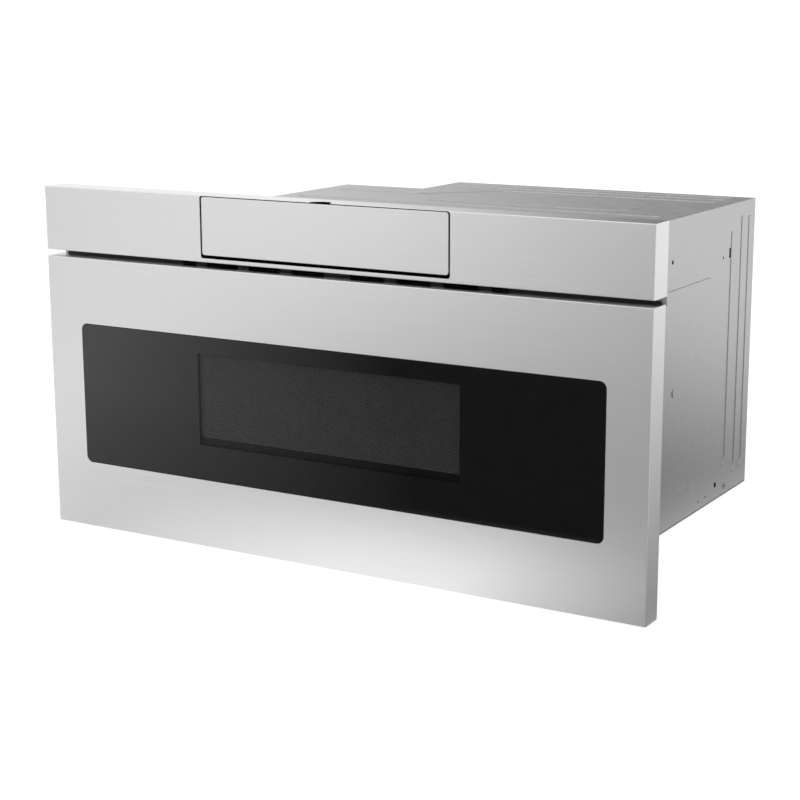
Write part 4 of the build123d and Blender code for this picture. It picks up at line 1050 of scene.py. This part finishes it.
@dataclass
class PanelPrint:
    """The printed keys, display and signs on the touch glass of the flap."""

    finish: bpy.types.Material
    lift: float = 0.00004
    print_depth: float = 0.00003
    display: tuple[float, float] = (-0.098, 0.026)
    clock_size: float = 0.013
    first_key: float = -0.046
    key_step: float = 0.0155
    keys_in_row: int = 5
    rows: tuple[float, float] = (0.034, 0.016)
    digit_size: float = 0.0075
    start_x: float = 0.046
    level_x: float = 0.068
    sign_size: float = 0.009
    sign_rise: float = 0.0005
    drawer_keys: tuple[float, float] = (0.1, 0.124)
    drawer_keys_up: float = 0.025

    def spot(self, x: float, up: float) -> Matrix:
        """Return the place of a mark on the touch face.

        Args:
            x: Distance to the right of the middle.
            up: Distance from the edge nearest the user, with the flap open.

        Returns:
            The mark's transform, its own X to the right and Y up the glass.
        """
        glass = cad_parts["control_glass"].data
        upward = (side for side in glass.polygons if side.normal.z > 0.0)
        face = max(upward, key=lambda side: side.area)
        around = (glass.vertices[index].co for index in face.vertices)
        top = max(around, key=lambda corner: corner.z)
        out = face.normal
        along = Vector((0, out.z, -out.y))
        turn = Matrix((Vector((1, 0, 0)), along, out)).transposed().to_4x4()
        start = Vector((x, top.y, top.z)) + along * up + out * self.lift
        return Matrix.Translation(start) @ turn

    def text(self, shape: bmesh.types.BMesh, words: str, x: float, up: float, size: float) -> None:
        """Print a number or a sign.

        Args:
            shape: The print's shape.
            words: The characters.
            x: Distance to the right of the middle.
            up: Distance up the glass.
            size: Height of the characters.
        """
        curve = bpy.data.curves.new("print", "FONT")
        curve.body = words
        curve.size = size
        curve.align_x = "CENTER"
        curve.align_y = "CENTER"
        curve.extrude = self.print_depth / 2
        source = bpy.data.objects.new("print", curve)
        mesh = bpy.data.meshes.new_from_object(source)
        mesh.transform(self.spot(x, up))
        shape.from_mesh(mesh)
        bpy.data.objects.remove(source)
        bpy.data.curves.remove(curve)
        bpy.data.meshes.remove(mesh)

    def ring(self, shape: bmesh.types.BMesh, x: float, up: float, mark: Mark) -> None:
        """Print an outline.

        Args:
            shape: The print's shape.
            x: Distance to the right of the middle.
            up: Distance up the glass.
            mark: The outline.
        """
        made = bmesh.ops.create_circle(
            shape,
            cap_ends=True,
            segments=mark.sides,
            radius=mark.radius,
            matrix=Matrix.Rotation(mark.turn, 4, "Z"),
        )["verts"]
        bmesh.ops.scale(shape, verts=made, vec=(mark.stretch, 1, 1))
        grown = set(made)
        if mark.line < mark.radius / 2:
            face = made[0].link_faces[0]
            rim = bmesh.ops.inset_region(
                shape, faces=[face], thickness=mark.line, use_boundary=True, use_even_offset=True
            )["faces"]
            grown.update(vert for part in rim for vert in part.verts)
            bmesh.ops.delete(shape, geom=[face], context="FACES_ONLY")
        bmesh.ops.transform(shape, verts=list(grown), matrix=self.spot(x, up))

    def build(self) -> None:
        """Print the display, the number keys and the signs."""
        shape = bmesh.new()
        self.ring(shape, *self.display, DISPLAY)
        self.text(shape, "12:00", *self.display, self.clock_size)
        for index, digit in enumerate("1234567890"):
            row, column = divmod(index, self.keys_in_row)
            x = self.first_key + self.key_step * column
            self.text(shape, digit, x, self.rows[row], self.digit_size)
            self.ring(shape, x, self.rows[row], KEY)
        for up, mark in zip(self.rows, (START, STOP)):
            self.ring(shape, self.start_x, up, mark)
        for up, sign in zip(self.rows, "+-"):
            self.ring(shape, self.level_x, up, KEY)
            self.text(shape, sign, self.level_x, up + self.sign_rise, self.sign_size)
        for x, arrow in zip(self.drawer_keys, (OPEN, CLOSE)):
            self.ring(shape, x, self.drawer_keys_up, DRAWER_KEY)
            self.ring(shape, x, self.drawer_keys_up, arrow)
        join("panel_print", shape, self.finish, "control_flap")


@dataclass(frozen=True)
class Fade:
    """Light that goes from one strength to another over a span of a coordinate."""

    first: float
    last: float
    span: Span

    def over(self, graph: Graph, factor: bpy.types.NodeSocket) -> bpy.types.NodeSocket:
        """Return the strength.

        Args:
            graph: The graph of the floor or of the world.
            factor: The coordinate's socket.

        Returns:
            The strength's socket.
        """
        return graph.spread(factor, self.first, self.last, self.span)


@dataclass
class Studio:
    """The floor, the soft surroundings and the camera of the photograph.

    Near, far and foot are painted pools of light in the floor's glow, each with a rise and a fall
    across it and a depth along Y. Beside is the glow to the object's right, dim next to it as a
    painted shadow.
    Left, right, band and overhead are bright parts of the surroundings.
    """

    camera_place: Triple = (1.02987, -1.84532, 0.60208)
    camera_yaw: float = 0.539545
    camera_pitch: float = 0.2178085
    camera_roll: float = -0.00373607
    lens: float = 80.1115
    sensor: float = 36.0
    clip_end: float = 100.0
    floor_size: float = 30.0
    floor_sides: int = 64
    floor_seen: float = 0.8
    floor_colour: Colour = (0.35, 0.35, 0.35)
    slant: tuple[float, float] = (0.835, -0.55)
    near_rise: Fade = Fade(0.3, 1.25, (-0.75, -0.33))
    near_fall: Fade = Fade(1.25, 0.1, (-0.25, 0.28))
    near_depth: Fade = Fade(1.0, 0.72, (-0.9, -0.42))
    far_rise: Fade = Fade(0.3, 1.0, (-0.5, 0.0))
    far_fall: Fade = Fade(1.0, 0.05, (0.45, 0.95))
    far_depth: Fade = Fade(1.75, 0.0, (-2.0, -1.3))
    foot_rise: Fade = Fade(0.35, 1.15, (-0.6, 0.0))
    foot_fall: Fade = Fade(1.15, 0.0, (0.15, 0.42))
    foot_depth: Fade = Fade(0.0, 1.0, (-0.55, -0.45))
    # Painted shadow: the floor's glow to the object's right is dim next to it and brighter further
    # out.
    beside: Fade = Fade(0.0, 1.1, (0.24, 1.65))
    left: Fade = Fade(1.3, 0.15, (-0.56, -0.38))
    right: Fade = Fade(0.0, 0.65, (0.0, 0.7))
    band_rise: Fade = Fade(0.0, 3.5, (-0.66, -0.5))
    band_fall: Fade = Fade(3.5, 0.0, (-0.47, -0.36))
    band_right: Fade = Fade(0.0, 2.2, (0.55, 1.0))
    band_depth: Fade = Fade(1.0, 0.0, (-0.5, 0.0))
    overhead: Fade = Fade(0.0, 1.0, (0.15, 0.6))
    overhead_strength: float = 1.25

    def set_camera(self) -> None:
        """Put the camera at the photograph's viewpoint."""
        yaw, pitch, roll = self.camera_yaw, self.camera_pitch, self.camera_roll
        level = math.cos(pitch)
        forward = Vector((-math.sin(yaw) * level, math.cos(yaw) * level, -math.sin(pitch)))
        right = Vector((math.cos(yaw), math.sin(yaw), 0))
        up = right.cross(forward)
        turned_right = math.cos(roll) * right + math.sin(roll) * up
        turned_up = math.cos(roll) * up - math.sin(roll) * right
        data = bpy.data.cameras.new("photo_camera")
        data.lens = self.lens
        data.sensor_width = self.sensor
        data.clip_end = self.clip_end
        camera = bpy.data.objects.new("photo_camera", data)
        pose = Matrix((turned_right, turned_up, -forward)).transposed().to_4x4()
        pose.translation = self.camera_place
        camera.matrix_world = pose
        bpy.context.scene.collection.objects.link(camera)
        bpy.context.scene.camera = camera

    def floor_light(self, graph: Graph) -> bpy.types.NodeSocket:
        """Return how bright the floor is for the object: in front of it, below it and beside it.

        Args:
            graph: The floor's graph.

        Returns:
            The strength's socket.
        """
        x, y = graph.along(Axis.X), graph.along(Axis.Y)
        across = graph.maths("MULTIPLY", x, self.slant[0])
        turned = graph.maths("MULTIPLY_ADD", y, self.slant[1], across)
        areas = [
            graph.maths(
                "MULTIPLY",
                graph.maths("MINIMUM", rise.over(graph, place), fall.over(graph, place)),
                depth.over(graph, y),
            )
            for place, rise, fall, depth in (
                (turned, self.near_rise, self.near_fall, self.near_depth),
                (turned, self.far_rise, self.far_fall, self.far_depth),
                (x, self.foot_rise, self.foot_fall, self.foot_depth),
            )
        ]
        brightest = graph.maths("MAXIMUM", graph.maths("MAXIMUM", areas[0], areas[1]), areas[2])
        return graph.maths("ADD", brightest, self.beside.over(graph, x))

    def lay_floor(self) -> None:
        """Lay the floor, plain and pale to the camera, and for other rays a glow of painted pools
        of light with a painted shadow beside the object.
        """
        mesh = bpy.data.meshes.new("floor")
        shape = bmesh.new()
        bmesh.ops.create_circle(
            shape, cap_ends=True, segments=self.floor_sides, radius=self.floor_size / 2
        )
        shape.to_mesh(mesh)
        shape.free()
        floor = bpy.data.objects.new("floor", mesh)
        bpy.context.scene.collection.objects.link(floor)
        material = bpy.data.materials.new("pale_floor")
        material.use_nodes = True
        tree = material.node_tree
        tree.nodes.clear()
        graph = Graph(tree)
        seen = graph.node("Emission", {"Color": (1, 1, 1, 1), "Strength": self.floor_seen})
        matt = graph.node("BsdfDiffuse", {"Color": (*self.floor_colour, 1)})
        shown = graph.node("AddShader", {0: seen.outputs[0], 1: matt.outputs[0]})
        # For all rays but the camera's, the floor glows in painted pools of light, with a painted
        # shadow beside the object.
        painted_floor_glow = graph.node("Emission", {"Strength": self.floor_light(graph)})
        graph.node("OutputMaterial", {"Surface": graph.for_camera(painted_floor_glow, shown)})
        mesh.materials.append(material)

    def surround(self) -> None:
        """Light the scene with a soft gradient, bright from the left and from above."""
        world = bpy.data.worlds.new("soft_surround")
        bpy.context.scene.world = world
        world.use_nodes = True
        tree = world.node_tree
        tree.nodes.clear()
        graph = Graph(tree)
        direction = graph.node("TexCoord", {}).outputs["Generated"]
        x, y, z = graph.node("SeparateXYZ", {0: direction}).outputs
        level = graph.maths("ADD", self.left.over(graph, x), self.right.over(graph, x))
        level = graph.between(self.overhead.over(graph, z), level, self.overhead_strength)
        band = graph.maths("MINIMUM", self.band_rise.over(graph, x), self.band_fall.over(graph, x))
        band = graph.maths("ADD", band, self.band_right.over(graph, x))
        band = graph.maths("MULTIPLY", band, self.band_depth.over(graph, y))
        around = graph.node("Background", {"Strength": graph.maths("MAXIMUM", level, band)})
        backdrop = graph.node("Background", {"Color": (1, 1, 1, 1), "Strength": 1.0})
        graph.node("OutputWorld", {"Surface": graph.for_camera(around, backdrop)})
        bpy.context.scene.view_settings.view_transform = "Standard"

    def build(self) -> None:
        """Make the floor, the light and the camera."""
        self.set_camera()
        self.lay_floor()
        self.surround()


@dataclass
class FrameDressing:
    """Gives every carried-over CAD node its own finish, or else that of its material slot."""

    finishes: dict[str, Finish]
    special: dict[str, Finish]

    def build(self) -> dict[str, bpy.types.Material]:
        """Make each finish once and put it on its nodes.

        Returns:
            The made materials by slot.
        """
        made = {slot: finish.build() for slot, finish in self.finishes.items()}
        own = {name: finish.build() for name, finish in self.special.items()}
        for name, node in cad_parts.items():
            for index, material in enumerate(node.data.materials):
                node.data.materials[index] = own.get(name) or made[material.name.split(".")[0]]
            log.info("dressed %s", name)
        return made


def main() -> None:
    """Build every sub-assembly in order."""
    logging.basicConfig(level=logging.INFO, format="%(name)s: %(message)s")
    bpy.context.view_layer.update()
    Studio().build()
    finishes = FrameDressing(SLOT_FINISHES, NODE_FINISHES).build()
    PerforatedScreen(finishes["screen_steel"]).build()
    RearScrews(finishes["zinc_plated"]).build()
    PanelPrint(PANEL_PRINT.build()).build()


if __name__ == "__main__":
    main()
